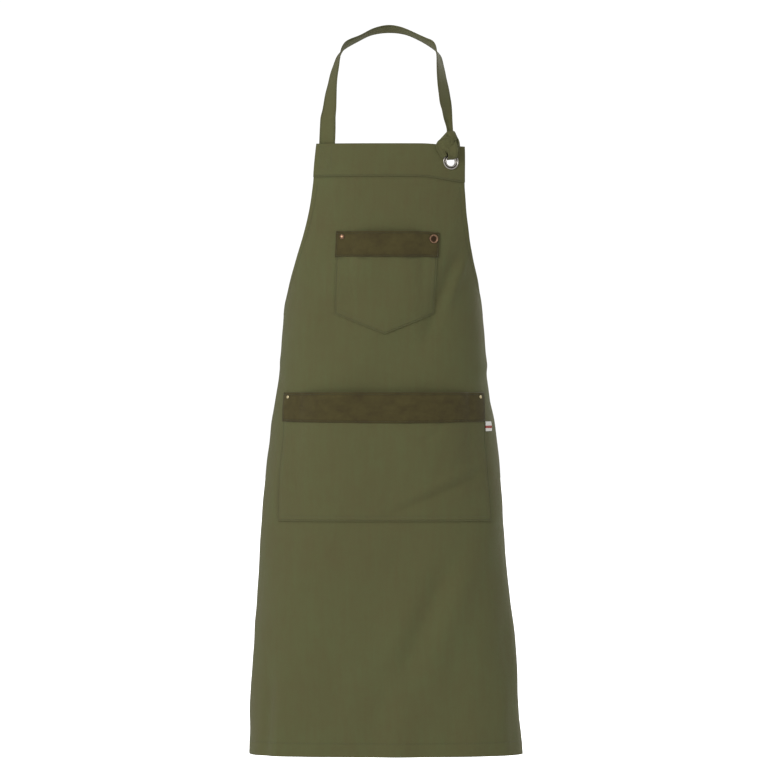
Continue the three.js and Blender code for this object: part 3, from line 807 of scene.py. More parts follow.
def pocketShadow(pocket, across, drop):
    # painted shadow on the strip of sheet just outside the sewn edge of a pocket
    half = pocket["width"] / 2 + splayAt(pocket, drop)
    s = np.abs(across - pocket["centre"]) / half
    slant = (pocket["height"] - pocket["sideHeight"]) / half
    foot = pocket["drop"] + pocket["height"] - slant * s * half
    level = pocket["drop"] + pocket["trimHeight"]
    beside = paintedSeamShade(s * half - half, 0.3, 0.8) * (drop > level) * (drop < foot)
    below = paintedSeamShade(drop - foot, 0.3, 0.8) * (s < 1)
    return pocket["shade"] * np.maximum(beside, below)


def sheetPiece():
    cut = sheetCut
    fromEdge = np.array([0, 0.12, 0.4, 0.9, 2.4, 5.2, 7.4, 8.3, 9.0, 9.7, 10.6, 12.6])
    fromFoot = np.array([0, 0.12, 0.4, 0.9, 4, 9, 14, 18.6, 20.3, 21.0, 21.7, 22.8, 25])
    drops = np.concatenate([along(0, cut["length"] - 29, cut["meshStep"]),
                            cut["length"] - fromFoot[::-1]])
    middle = np.linspace(-1, 1, 122)[1:-1]   # the evenly spaced inner columns
    half = sheetHalf(drops)[:, None]
    across = np.concatenate([-half + fromEdge, middle * (half - fromEdge[-1] - 2),
                             (half - fromEdge)[:, ::-1]], axis=1)
    drop = np.broadcast_to(drops[:, None], across.shape)
    across, drop, keep = roundHole(across, drop, (eyelet["across"], eyelet["drop"]),
                                   eyelet["clothHole"])
    fromSide = np.maximum(sheetHalf(drop) - np.abs(across), 0)
    fromBottom = np.maximum(cut["length"] - drop, 0)
    inHem = np.maximum(1 - smooth(cut["sideHem"] - 1, cut["sideHem"] + 0.6, fromSide),
                       1 - smooth(cut["footHem"] - 1, cut["footHem"] + 0.6, fromBottom))
    edge = np.minimum(fromSide, fromBottom)
    belowBand = smooth(56, 70, drop)
    face = seamGroove(fromSide, drop, cut["sideSeam"])
    face = face + seamGroove(fromBottom, across, cut["footSeam"])
    face = face * belowBand + 0.3 * inHem * belowBand
    roll = edgeRound(edge, 0.9) * 0.7
    inner = -cut["thickness"] - 0.75 * inHem * belowBand + roll
    outer = np.maximum(face - roll, inner + 0.1)
    # painted shade along the side and foot seams, below the top band's edge and beside the pockets
    seam = 0.4 * paintedSeamShade(fromSide, cut["sideSeam"]) + 0.2 * paintedSeamShade(fromBottom, cut["footSeam"])
    seam = seam * belowBand
    seam += 0.5 * paintedSeamShade(drop - topBand["drop"], 0.4, 0.8)
    for pocket in (chestPocket, waistPocket):
        seam += pocketShadow(pocket, across, drop)
    return layerPiece("apronSheet", across, drop, outer, inner, canvas, seam, keep)


apronSheet = sheetPiece()
print("main sheet made")


# The band folded over the top edge
def bandFoldPiece():
    # its rows run from the front foot up, over the fold, and down to the back foot
    band = topBand
    down = np.concatenate([band["drop"] - np.array([0, 0.15, 0.5, 1.1, 1.7, 2.2, 2.8, 3.6, 5.4]),
                           np.arange(band["drop"] - 9, 2, -4.1), [0.8]])
    turn = np.linspace(0, math.pi, 9)[1:-1]
    middle = (band["front"] + band["back"]) / 2
    outerRadius = (band["front"] - band["back"]) / 2
    innerRadius = (band["frontInside"] - band["backInside"]) / 2
    ends = edgeRound(band["drop"] - down, 0.8) * 0.7
    outerLift = np.concatenate([band["front"] - ends, middle + outerRadius * np.cos(turn),
                                (band["back"] + ends)[::-1]])
    innerLift = np.concatenate([np.full(len(down), band["frontInside"]),
                                middle + innerRadius * np.cos(turn),
                                np.full(len(down), band["backInside"])])
    outerDrop = np.concatenate([down, -outerRadius * np.sin(turn), down[::-1]])
    innerDrop = np.concatenate([down, -innerRadius * np.sin(turn), down[::-1]])
    facing = np.concatenate([np.ones(len(down)), np.zeros(len(turn)), -np.ones(len(down))])
    nearEnd = np.array([0, 0.15, 0.5, 1.2])
    share = np.linspace(-1, 1, 64)[1:-1]
    half = sheetHalf(np.maximum(outerDrop, 0))[:, None] + band["side"]
    across = np.concatenate([-half + nearEnd, share * (half - 3), (half - nearEnd)[:, ::-1]],
                            axis=1)
    drop = np.broadcast_to(outerDrop[:, None], across.shape)
    centre = (eyelet["across"], eyelet["drop"])
    across, drop, keep = roundHole(across, drop, centre, eyelet["clothHole"])
    moved = drop - outerDrop[:, None]
    fromSide = np.maximum(half - np.abs(across), 0)
    groove = seamGroove(band["drop"] - drop, across, band["seam"], 0.3, 0.12)
    puff = groove * facing[:, None] - edgeRound(fromSide, 0.8) * 0.5 * facing[:, None]
    outer = onCloth(across, drop, outerLift[:, None] + puff)
    inner = onCloth(across, innerDrop[:, None] + moved, innerLift[:, None])
    run = np.concatenate([[0], np.cumsum(np.hypot(np.diff(outerDrop), np.diff(outerLift)))])
    flat = np.stack([across, np.broadcast_to(run[:, None], across.shape)], axis=-1)
    above = band["drop"] - drop
    # painted shade along the band's seam and under its lower edge
    seam = 0.4 * paintedSeamShade(above, band["seam"]) + 0.6 * paintedSeamShade(above, 0, 0.5)
    return shellPiece("topBand", outer, inner, flat, canvas, np.minimum(seam, 1), keep)


bandFold = bandFoldPiece()
print("top band made")


# Pockets with suede over their mouths
def pocketPiece(pocket):
    layer = pocketLayer
    nearSide = np.array([0, 0.12, 0.4, 0.9, 1.6, 2.1, 2.4, 2.7, 3.3, 4.6])
    columns = max(20, int(pocket["width"] / 4.2))
    middle = np.linspace(-1, 1, columns)[1:-1]
    half = pocket["width"] / 2
    s = np.concatenate([(-half + nearSide) / half, middle * (1 - 7 / half),
                        ((half - nearSide) / half)[::-1]])
    tall = tallAt(pocket, s)
    side = pocket["sideHeight"]
    t = np.concatenate([along(0, 1 - 8 / side, 4.2 / side), 1 - nearSide[::-1] / side])
    fromSide = np.broadcast_to(half * (1 - np.abs(s)), (len(t), len(s)))
    drop = pocket["drop"] + t[:, None] * tall
    across = pocket["centre"] + s * (half + splayAt(pocket, drop))
    slant = (pocket["height"] - side) / half
    fromFoot = (1 - t[:, None]) * tall / math.hypot(1, slant)
    fromEdge = np.minimum(fromSide, fromFoot)
    edge = np.minimum(fromEdge, drop - pocket["drop"])
    gape = pocketGape(pocket, across, drop)
    fold = 0.25 * (1 - smooth(7, 8.5, fromEdge))
    inner = layer["inside"] + gape
    face = seamGroove(fromSide, drop, layer["seam"], 0.4)
    face = face + seamGroove(fromFoot, across, layer["seam"], 0.4)
    swell = 0.5 * np.sin(across / 31 + drop / 47) * smooth(5, 30, fromEdge)
    outer = layer["outside"] + gape + face + fold + swell - edgeRound(edge, 0.9) * 0.8
    outer = np.maximum(outer, inner + 0.1)
    # painted shade along the pocket's edge and seams, and under the trim's lower edge
    seam = 0.3 * paintedSeamShade(fromEdge, layer["seam"]) + pocket["shade"] * paintedSeamShade(fromEdge, 0, 0.6)
    seam += 0.15 * paintedSeamShade(fromEdge, layer["seam"] + layer["secondSeam"])
    seam += 0.6 * paintedSeamShade(drop - pocket["drop"] - pocket["trimHeight"], 0.4, 1.2)
    return layerPiece(pocket["name"], across, drop, outer, inner, canvas, seam)


def trimPiece(pocket):
    layer = pocketLayer
    half = pocket["width"] / 2 + pocket["overhang"]
    near = np.array([0, 0.15, 0.5, 1.0, 1.7, 2.3, 2.6, 2.9, 3.6, 5])
    middle = np.linspace(-1, 1, max(20, int(pocket["width"] / 3.6)))[1:-1]
    columns = np.concatenate([-half + near, middle * (half - 7), (half - near)[::-1]])
    top = pocket["drop"] - layer["trimAbove"]
    foot = pocket["drop"] + pocket["trimHeight"]
    rows = np.concatenate([top + near, along(top + 7, foot - 7, 3.2), foot - near[::-1]])
    across = np.broadcast_to(pocket["centre"] + columns, (len(rows), len(columns)))
    fromSide = half - np.abs(columns)[None, :]
    fromTop = np.broadcast_to(rows[:, None] - top, across.shape)
    fromFoot = np.broadcast_to(foot - rows[:, None], across.shape)
    drop = top + fromTop * (1 + pocket["dip"] / pocket["trimHeight"] * (1 - (columns / half) ** 2))
    edge = np.minimum(np.minimum(fromSide, fromTop), fromFoot)
    gape = pocketGape(pocket, across, np.maximum(drop, pocket["drop"]))
    over = 1 - smooth(1.0, 1.5, np.minimum(fromTop, fromSide))
    step = layer["outside"] - layer["inside"] + layer["trimGap"]
    inner = layer["inside"] + gape + (1 - over) * step
    seams = seamGroove(fromTop, across, layer["trimTopSeam"], 0.45, 0.1)
    seams += seamGroove(fromFoot, across, layer["trimSeam"], 0.45, 0.1)
    seams += seamGroove(fromSide, drop, layer["trimSeam"], 0.35, 0.08)
    wear = 0.25 * np.sin(across / 9.7 + 1.2 * np.sin(drop / 11)) * np.sin(drop / 7.9)
    outer = trimFace + gape + seams + wear
    outer = np.maximum(outer - edgeRound(edge, 1.3), inner + 0.15)
    # painted shade along the trim's seams and edges
    seam = 0.5 * paintedSeamShade(fromTop, layer["trimTopSeam"]) + 0.5 * paintedSeamShade(fromFoot, layer["trimSeam"])
    seam = seam + 0.4 * paintedSeamShade(fromSide, layer["trimSeam"]) + 0.6 * paintedSeamShade(edge, 0, 0.6)
    return layerPiece(pocket["name"] + "Trim", across, drop, outer, inner, suede, seam)


chestPocketPiece = pocketPiece(chestPocket)
chestTrimPiece = trimPiece(chestPocket)
waistPocketPiece = pocketPiece(waistPocket)
waistTrimPiece = trimPiece(waistPocket)
print("pockets made")

# Rivets and the plain ring badge: cap, shank and foot, and the place at the pocket's corner
rivet = {
    "cap": 4.0, "height": 1.9, "shank": 1.5, "foot": 3.4, "footHeight": 0.9, "inset": 9, "drop": 7,
}
badge = {
    "height": 1.8, "shank": 1.6, "foot": 4.0, "footHeight": 0.9, "inset": 8, "drop": 9,
    # radius, and depth below the ring's highest circle
    "face": [(0, 1.05), (2.6, 1.05), (4.4, 1.0), (4.8, 0.85), (5.1, 0.3), (5.5, 0.05), (6.0, 0),
             (6.5, 0.08), (6.9, 0.3), (7.1, 0.8)],
    "rim": 7.0,
}
smallRivet = {
    "cap": 2.5, "height": 1.3, "shank": 1.2, "foot": 2.8, "footHeight": 0.8, "inset": 10,
    "drop": 5.5,
}
capFoot = trimFace - 0.25   # caps press a little into the suede


def footProfile(shape):
    back = -sheetCut["thickness"] - 0.05
    end = back - shape["footHeight"]
    return [(shape["shank"], capFoot - 0.05), (shape["shank"], back), (shape["foot"], back - 0.05),
            (shape["foot"], back - shape["footHeight"] * 0.6), (shape["foot"] * 0.8, end), (0, end)]


def rivetProfile(shape, rings=()):
    # a dome with shallow turned rings as (radius, depth, width)
    dome = []
    for angle in np.linspace(0, math.pi / 2, 10):
        dome.append((shape["cap"] * math.sin(angle) ** 0.9, capFoot + 0.5
                     + (shape["height"] - 0.3) * math.cos(angle) ** 0.8))
    dome[0] = (0, dome[0][1])
    for radius, depth, width in rings:
        for k, (r, h) in enumerate(dome):
            dome[k] = (r, h - depth * math.exp(-((r - radius) / width) ** 2))
    return dome + [(shape["cap"] - 0.15, capFoot)] + footProfile(shape)


def badgeProfile(shape):
    top = capFoot + shape["height"]
    face = [(radius, top - depth) for radius, depth in shape["face"]]
    return face + [(shape["rim"], capFoot)] + footProfile(shape)


def atCorner(pocket, side, shape):
    across = pocket["centre"] + side * (pocket["width"] / 2 - shape["inset"])
    return across, pocket["drop"] + shape["drop"]


chestRivet = turnedPiece("chestRivet", rivetProfile(rivet, [(2.4, 0.25, 0.35)]),
                         *atCorner(chestPocket, -1, rivet), copper, 48, [(2.4, 0.4), (4.0, 0.5)])
chestBadge = turnedPiece("chestBadge", badgeProfile(badge), *atCorner(chestPocket, 1, badge),
                         copper, 64, [(0, 4.4), (3.6, 1.0), (7.1, 0.3)])
waistRivetLeft = turnedPiece("waistRivetLeft", rivetProfile(smallRivet),
                             *atCorner(waistPocket, -1, smallRivet), brass, 40)
waistRivetRight = turnedPiece("waistRivetRight", rivetProfile(smallRivet),
                              *atCorner(waistPocket, 1, smallRivet), brass, 40)

# The eyelet's two beads as radius and height above the band's face
eyeletBeads = [(7.0, 0.9), (7.12, 1.55), (7.5, 2.0), (8.1, 2.1), (8.7, 1.75), (9.05, 0.95),
               (9.4, 0.4), (10.0, 0.4), (10.45, 0.8), (10.9, 1.4), (11.6, 1.55), (12.25, 1.15),
               (12.6, 0.4), (12.4, 0.02), (9.2, 0.02)]
barrelEnd = topBand["back"] - 0.5
eyeletProfile = [(eyelet["hole"], barrelEnd)]
eyeletProfile += [(radius, topBand["front"] + height) for radius, height in eyeletBeads]
eyeletProfile += [(eyelet["barrel"], barrelEnd), (eyelet["hole"], barrelEnd)]
# The washer as radius and depth behind the band's back
washerBeads = [(9.2, 0.02), (12.2, 0.02), (12.4, 0.3), (12.1, 0.75), (10.6, 1.15), (9.2, 1.2),
               (7.7, 1.0), (7.2, 0.52), (9.2, 0.52), (9.2, 0.02)]
washerProfile = [(radius, topBand["back"] - depth) for radius, depth in washerBeads]
eyeletRing = turnedPiece("eyeletRing", eyeletProfile, eyelet["across"], eyelet["drop"], nickel, 72,
                         [(9.7, 0.65)])
eyeletWasher = turnedPiece("eyeletWasher", washerProfile, eyelet["across"], eyelet["drop"],
                           nickel, 72)

# The woven label in the side seam
label = {"across": 175, "drop": 431.5, "width": 16, "height": 15, "lift": 0.45, "thickness": 0.95}


def labelPiece():
    # it stands out from the seam with a slight curl toward its free edge
    u = stations(0, label["width"], 0.8, 0.5)
    v = stations(0, label["height"], 0.9, 0.5)
    across = np.broadcast_to(label["across"] + u, (len(v), len(u)))
    drop = np.broadcast_to((label["drop"] + v)[:, None], across.shape)
    curl = 1.3 * (u[None, :] / label["width"]) ** 2 * (1 + 0.5 * np.sin(v[:, None] / 5.5))
    edge = np.minimum(label["width"] - u[None, :], v[:, None])
    edge = np.minimum(edge, label["height"] - v[:, None])
    inner = label["lift"] + curl
    outer = np.maximum(inner + label["thickness"] - edgeRound(edge, 0.5), inner + 0.1)
    flat = np.stack([across - label["across"], label["drop"] - drop], axis=-1)
    return shellPiece("sideLabel", onCloth(across, drop, outer), onCloth(across, drop, inner),
                      flat, labelWeave)


sideLabel = labelPiece()
print("metal and label made")

# The neck strap, sewn in at one end and knotted through the eyelet at the other
strap = {
    "width": 26, "thickness": 1.9, "narrowWidth": 10.5, "narrowFrom": 0.895, "narrowTo": 0.98,
    "sewnAcross": -100.5, "hingeAcross": -91, "behindBand": -5.4,
    # x, y and z from the middle of the top edge
    "route": [(-87.4, -72, 54), (-84.7, -60, 83), (-80.5, -43, 109), (-76.4, -28, 127),
              (-70.5, -10, 144.5), (-61, 15, 156.5), (-42, 40, 168.5), (-20.5, 56, 180),
              (3, 62, 184.5), (26, 57, 181.5), (48, 42, 171.5), (68.5, 19, 158.5), (79, -8, 147),
              (83.6, -31, 127), (86.4, -50, 104), (90.5, -66, 74), (93, -72, 55)],
    # the way the band's face looks, at even steps from the top edge to the knot
    "facing": [(-0.3, -0.95, 0), (-0.45, -0.9, 0), (-0.66, -0.75, 0.1),
               (-0.8, -0.58, 0.15), (-0.88, -0.4, 0.3), (-0.9, -0.1, 0.42), (-0.8, 0.1, 0.6),
               (-0.58, 0.24, 0.77), (-0.3, 0.36, 0.88), (0, 0.4, 0.9), (0.2, 0.38, 0.9),
               (0.45, 0.3, 0.84), (0.68, 0.2, 0.7), (0.88, 0.06, 0.5), (0.93, -0.22, 0.35),
               (0.85, -0.5, 0.25), (0.72, -0.66, 0.2), (0.68, -0.72, 0.1), (0.55, -0.83, 0),
               (0.3, -0.95, 0)],
}


def strapRoute():
    # up behind the band from the sewn end, round the neck and down to the knot
    across = float(strap["sewnAcross"])
    hinge = onCloth(strap["hingeAcross"], 0.0, strap["behindBand"])
    top = onCloth(across, 0.0, strap["behindBand"])
    left = [onCloth(across, 44.0, -3.3), onCloth(across, 30.0, -3.3), onCloth(across, 12.0, -3.3),
            onCloth(across, 0.0, -4.0), (top[0] + 0.4, hinge[1] - 0.2, topZ + 16),
            (top[0] + 0.9, hinge[1], topZ + 31), (top[0] + 1.3, hinge[1], topZ + 40)]
    middle = [(x, y + frontY, z + topZ) for x, y, z in strap["route"]]
    right = [(94.6, hinge[1] - 0.2, topZ + 41), (96.6, hinge[1], topZ + 30),
             (98.2, hinge[1] - 1.5, topZ + 20), (98.5, hinge[1] - 4, topZ + 5)]
    sewn = tuple(outward(np.array(across), np.array(25.0)))
    return left + middle + right, [sewn, sewn] + strap["facing"]


strapPoints, strapFacing = strapRoute()


def strapWidth(share):
    drawnIn = strap["width"] - strap["narrowWidth"]
    return strap["width"] - drawnIn * smooth(strap["narrowFrom"], strap["narrowTo"], share)


def strapThickness(share):
    return strap["thickness"] + 1.2 * smooth(0.9, 0.99, share)


def strapCup(share):
    # the band hollows where it bends on both shoulders and where the knot draws it in
    shoulders = np.exp(-((share - 0.35) / 0.05) ** 2) + np.exp(-((share - 0.735) / 0.05) ** 2)
    return 0.5 + 3.2 * shoulders + 6 * smooth(0.9, 0.97, share)


neckStrap, strapLength = bandPiece("neckStrap", strapPoints, strapFacing, strapWidth,
                                   strapThickness, strapCanvas, step=2.2, wave=0.25, cup=strapCup)


# The knot: a folded wrap, the turn through the eyelet and the free end tucked across
knotFold = {
    "centre": (90, -4), "lift": 2.2, "front": 8.5,
    # across and down from the centre
    "outline": [(9.6, -19.6), (6.5, -20.8), (-1.6, -20.4), (-18.5, 0.5), (-11, 12), (-3.5, 16),
                (3, 17), (10.5, 15), (16, 6), (16.8, -2), (15.8, -8), (12.2, -14.5)],
    # valleys and ridges: from, to, half width and height
    "folds": [((13, -14), (10, 4), 1.3, -4.2), ((12, 4), (6, 17), 1.4, -3.0),
              ((-4, -15), (2, -4), 1.6, -3.0), ((1, -20), (-6, -6), 1.2, -1.4),
              ((-14, 0), (3, 1), 4.0, 1.6), ((2, 8), (3, 18), 2.0, -1.6),
              ((-10, 4), (-1, 14), 2.4, 1.0), ((16, -10), (16, 8), 1.6, 1.2)],
}


def outlineRadius(outline, angle):
    # how far the outline lies from its centre in each direction, with its corners eased
    radius = np.empty(len(angle))
    loop = np.vstack([outline, outline[:1]])
    for k, a in enumerate(angle):
        direction = np.array([math.cos(a), -math.sin(a)])
        best = 0
        for p, q in zip(loop[:-1], loop[1:]):
            side = q - p
            cross = direction[0] * side[1] - direction[1] * side[0]
            if abs(cross) < 1e-9:
                continue
            reach = (p[0] * side[1] - p[1] * side[0]) / cross
            share = (p[0] * direction[1] - p[1] * direction[0]) / cross
            if reach > 0 and -1e-6 <= share <= 1 + 1e-6:
                best = max(best, reach)
        radius[k] = best
    return (np.roll(radius, 1) + 4 * radius + np.roll(radius, -1)) / 6


def knotPiece():
    angle = np.linspace(0, 2 * math.pi, 97)[:-1]
    radius = outlineRadius(np.array(knotFold["outline"], float), angle)
    rings = np.sin(np.linspace(0, math.pi / 2, 22))[1:] ** 0.9
    x = np.outer(rings, radius * np.cos(angle))
    d = np.outer(rings, -radius * np.sin(angle))
    r = np.broadcast_to(rings[:, None], x.shape)
    middle = [float(k) for k in knotFold["centre"]]
    across = middle[0] + x
    drop = middle[1] + d
    face = knotFold["lift"] + knotFold["front"] * (1 - r ** 6) ** 0.8 * (1 - 0.25 * r)
    for a, b, width, height in knotFold["folds"]:
        run = np.array(b, float) - np.array(a, float)
        t = np.clip(((x - a[0]) * run[0] + (d - a[1]) * run[1]) / (run @ run), 0, 1)
        away = np.hypot(x - a[0] - t * run[0], d - a[1] - t * run[1])
        face = face + height * np.exp(-(away / width) ** 2)
    above = 1 - smooth(-9, -3, drop)
    back = 2.0 - above * (2 + 6.5 * (1 - r ** 3) ** 0.6)
    face = face - above * 1.8 * r ** 2
    front = onCloth(across, drop, np.maximum(face, back + 0.4))
    rear = onCloth(across, drop, back)
    count = len(angle)
    points = [onCloth(*middle, knotFold["lift"] + knotFold["front"])]
    points += list(front.reshape(-1, 3))
    points += [onCloth(*middle, -0.5)] + list(rear.reshape(-1, 3))
    plane = [(0, 0)] + list(np.stack([x, -d], -1).reshape(-1, 2))
    plane = plane + plane
    second = 1 + len(rings) * count
    faces = []
    for j in range(count):
        k = (j + 1) % count
        faces.append((0, 1 + j, 1 + k))
        faces.append((second, second + 1 + k, second + 1 + j))
        for i in range(len(rings) - 1):
            a, b = 1 + i * count + j, 1 + i * count + k
            faces.append((a, a + count, b + count, b))
            faces.append((second + b, second + b + count, second + a + count, second + a))
        a, b = 1 + (len(rings) - 1) * count + j, 1 + (len(rings) - 1) * count + k
        faces.append((a, second + a, second + b, b))
    return makePiece("knotFold", points, faces, plane, canvas)


knotFoldPiece = knotPiece()


def aroundEyelet(steps):
    # a route as steps aside from the eyelet's centre, above it and out of the cloth
    return [onCloth(float(eyelet["across"] + aside), float(eyelet["drop"] - rise), float(lift))
            for aside, rise, lift in steps]


def squeezed(low, high):
    # high along the band but low at its middle, where it passes the hole
    return lambda share: high - (high - low) * np.exp(-((share - 0.5) / 0.16) ** 2)


turnRoute = aroundEyelet([(-3, 30, 6), (-2, 24, 9), (-1, 18, 11), (0, 12, 10.5), (0, 7.5, 7.5),
                          (-0.3, 5.4, 3), (-0.3, 4.8, -1), (0, 5.8, -5), (-1, 11, -8),
                          (-2, 18, -8.5), (-2, 25, -7.5), (-2, 29, -6), (-2, 33, -3)])
turnFacing = [(0, -1, 0)] * 3 + [(0, -0.8, -0.6), (0, -0.4, -0.9), (0, 0.3, -0.95),
                                 (0, 0.8, -0.6)] + [(0, 1, 0)] * 4
eyeletTurn, _ = bandPiece("eyeletTurn", turnRoute, turnFacing, squeezed(10.2, 17),
                          squeezed(4.6, 3.4), canvas, step=1.0, wave=0.3, cup=1.5)
freeRoute = aroundEyelet([(-1, 26, 9), (-8, 29, 8.5), (-16, 27, 6), (-19.5, 22, 4.6),
                          (-16, 13, 4.0), (-10.5, 5.5, 3.9)])
freeEnd, _ = bandPiece("strapFreeEnd", freeRoute, [(0, -1, 0)] * 3, lambda s: 15 - 6 * s,
                       lambda s: 2.4 - 0.8 * s, canvas, step=1.2, cup=1.0)
sideRoute = aroundEyelet([(1, 34, 4), (5.5, 34, 3), (8.8, 29, 2.6), (9.8, 22, 3.2), (9.2, 12, 4.2),
                          (8.2, 6, 4.2)])
sideFacing = [(0.4, -1, 0), (0.8, -0.8, 0), (0.6, -0.9, 0)]
sideWrap, _ = bandPiece("knotSideWrap", sideRoute, sideFacing, lambda s: 10 - 5 * s, 2.2, canvas,
                        step=1.2, cup=1.2)
print("strap and knot made")

# Waist ties to a bow at the back
tie = {"drop": 336, "width": 28, "thickness": 1.6, "seam": 14, "lift": -2.1, "insideKnot": 9,
       "beforeKnot": 2, "gathered": 0.42, "sag": 5, "pleat": 1.3}
bow = {"length": 92, "droop": 0.45, "width": 25, "narrow": 11, "thickness": 1.5, "wave": 0.5,
       "cup": 1.2}
tail = {"length": 240, "offset": 14, "start": 5.8, "spread": 0.1, "lift": 9.4, "tuck": 2.2,
        "width": 24, "narrow": 9.5, "openedAt": 0.14, "thickness": 1.7, "wave": 0.3, "cup": 0.8,
        "phase": {-1: 0.4, 1: 2.0}}
knotLow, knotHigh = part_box("tie_knot")
tieKnotCentre = np.array((knotLow + knotHigh) / 2) / mm


def tieRun(side):
    # one tie from its side seam round to the knot, where it is gathered, and its length
    low = float(sheetHalf(np.array(float(tie["drop"])))) - tie["seam"]
    high = low
    while surfacePoint(high, tie["drop"])[0] - tieKnotCentre[0] > tie["insideKnot"]:
        high += 2
    run = along(low, high, 3.4)
    share = (run - low) / (high - low)
    v = np.concatenate([[-1, -0.985, -0.95], np.linspace(-0.88, 0.88, 15), [0.95, 0.985, 1]])
    wide = tie["width"] / 2 * (1 - tie["gathered"] * smooth(0.8, 1, share))[:, None]
    across = np.broadcast_to(side * run[:, None], (len(run), len(v)))
    sag = tie["sag"] * np.sin(math.pi * share)[:, None] * smooth(0.05, 0.3, share)[:, None]
    drop = tie["drop"] + sag + wide * v
    pleat = tie["pleat"] * smooth(0.6, 1, share)[:, None] * np.sin(v * 7.5 + 0.6)
    roll = 0.5 * np.sin(share * 9)[:, None] * v * smooth(0.08, 0.3, share)[:, None]
    body = smooth(0.03, 0.1, share)[:, None]
    edge = wide * (1 - np.abs(v))
    outer = tie["lift"] - body * (0.4 + np.abs(pleat) * 0.4) + pleat * body + roll
    rounded = np.minimum(edgeRound(edge, 0.7), tie["thickness"] / 2 - 0.1)
    skinOut = onCloth(across, drop, outer - rounded)
    skinIn = onCloth(across, drop, outer - tie["thickness"] + rounded)
    short = tieKnotCentre[1] - tie["beforeKnot"] - skinOut[-1, len(v) // 2, 1]
    for skin in (skinOut, skinIn):
        skin[..., 1] += short * smooth(0.1, 1.1, share)[:, None]
    middle = skinOut[:, len(v) // 2]
    length = np.linalg.norm(np.diff(middle, axis=0), axis=1).sum()
    flat = np.stack([across, -drop], axis=-1)
    name = "waistTieLeft" if side < 0 else "waistTieRight"
    return shellPiece(name, skinOut, skinIn, flat, canvas), float(length)


tieLeft, tieLeftLength = tieRun(-1)
tieRight, tieRightLength = tieRun(1)


def bowRoute(side):
    # out along the near layer of a loop, round its end and back, as share out and distance off
    c, s = math.cos(bow["droop"]), math.sin(bow["droop"])
    reach = bow["length"]
    section = [(0.02, 1.9), (0.25, 3.4), (0.55, 4.4), (0.85, 3.6), (0.97, 1.8), (1.0, 0),
               (0.97, -1.9), (0.85, -3.0), (0.55, -3.0), (0.25, -2.2), (0.02, -1.4)]
    path = [(tieKnotCentre[0] + side * c * reach * u, tieKnotCentre[1] + 1 + h,
             tieKnotCentre[2] - s * reach * u - 1) for u, h in section]
    facing = [(0, 1, 0), (0, 1, 0), (side * c, 0.15, -s), (0, -1, 0), (0, -1, 0)]
    return path, facing


def bowWidth(share):
    grown = np.sin(math.pi * np.clip(share, 0, 1)) ** 0.6
    return bow["narrow"] + (bow["width"] - bow["narrow"]) * grown


def tailRoute(side):
    # down from inside the knot's foot, opening from a gathered end, with a slow wave
    top = knotLow.z / mm + 3.4
    path = []
    for share in np.linspace(0, 1, 25):
        opened = smooth(0, tail["openedAt"], share)
        aside = tail["start"] + (tail["offset"] - tail["start"]) * opened
        x = tieKnotCentre[0] + side * (aside + tail["spread"] * max(share - 0.06, 0)
                                       * tail["length"])
        y = tieKnotCentre[1] + tail["lift"] - tail["tuck"] * (1 - opened)
        y += 1.6 * math.sin(share * 8 + tail["phase"][side]) * max(0, min(1, share * 4 - 0.4))
        path.append((x, y, top - share * tail["length"]))
    facing = [(0.05 * side, 1, 0), (0.25 * side, 1, 0), (-0.2 * side, 1, 0), (0.15 * side, 1, 0)]
    return path, facing


def tailWidth(share):
    opened = smooth(0, tail["openedAt"], share)
    return tail["narrow"] + (tail["width"] - tail["narrow"]) * opened


def bowPiece(name, side):
    return bandPiece(name, *bowRoute(side), bowWidth, bow["thickness"], canvas, 2.4, bow["wave"],
                     bow["cup"])


def tailPiece(name, side):
    return bandPiece(name, *tailRoute(side), tailWidth, tail["thickness"], canvas, 2.6,
                     tail["wave"], tail["cup"])


bowLeft, bowRun = bowPiece("bowLoopLeft", -1)
bowRight, bowRun = bowPiece("bowLoopRight", 1)
tailLeft, tailRun = tailPiece("tieTailLeft", -1)
tailRight, tailRun = tailPiece("tieTailRight", 1)


def tieKnotPiece():
    # a rounded block with two slanting folds
    size = np.array((knotHigh - knotLow)) / mm / 2
    rows, columns = 34, 56
    polar = np.linspace(0, math.pi, rows)[1:-1]
    turn = np.linspace(0, 2 * math.pi, columns + 1)[:-1]
    p, q = np.meshgrid(polar, turn, indexing="ij")
    shape = 0.8
    x = np.sin(p) ** shape * np.sign(np.cos(q)) * np.abs(np.cos(q)) ** shape
    y = np.sin(p) ** shape * np.sign(np.sin(q)) * np.abs(np.sin(q)) ** shape
    z = np.sign(np.cos(p)) * np.abs(np.cos(p)) ** shape
    fold = 1 - 0.12 * np.exp(-((x + 0.55 * z - 0.35) / 0.1) ** 2) - 0.1 * np.exp(
        -((x + 0.45 * z + 0.4) / 0.09) ** 2) - 0.05 * np.sin(9 * z + 3 * x) * (1 - np.abs(x))
    points = np.stack([x, y, z], -1) * fold[..., None] * size
    pole = size[2] * 0.97
    points = np.concatenate([points.reshape(-1, 3), [[0, 0, pole], [0, 0, -pole]]])
    faces = ringFaces(len(polar), columns)
    last = len(polar) * columns
    for j in range(columns):
        k = (j + 1) % columns
        faces.append((last, k, j))
        faces.append((last + 1, last - columns + j, last - columns + k))
    flat = np.stack([points[:, 0] + points[:, 1], points[:, 2]], -1)
    return makePiece("tieKnot", points + tieKnotCentre, faces, flat, canvas)


tieKnot = tieKnotPiece()
print("ties made")


# Stitches: a small thread lozenge repeated along each seam
stitching = {"pitch": 3.3, "length": 2.5, "thickness": 0.42, "sideways": 0.05, "seed": 7}


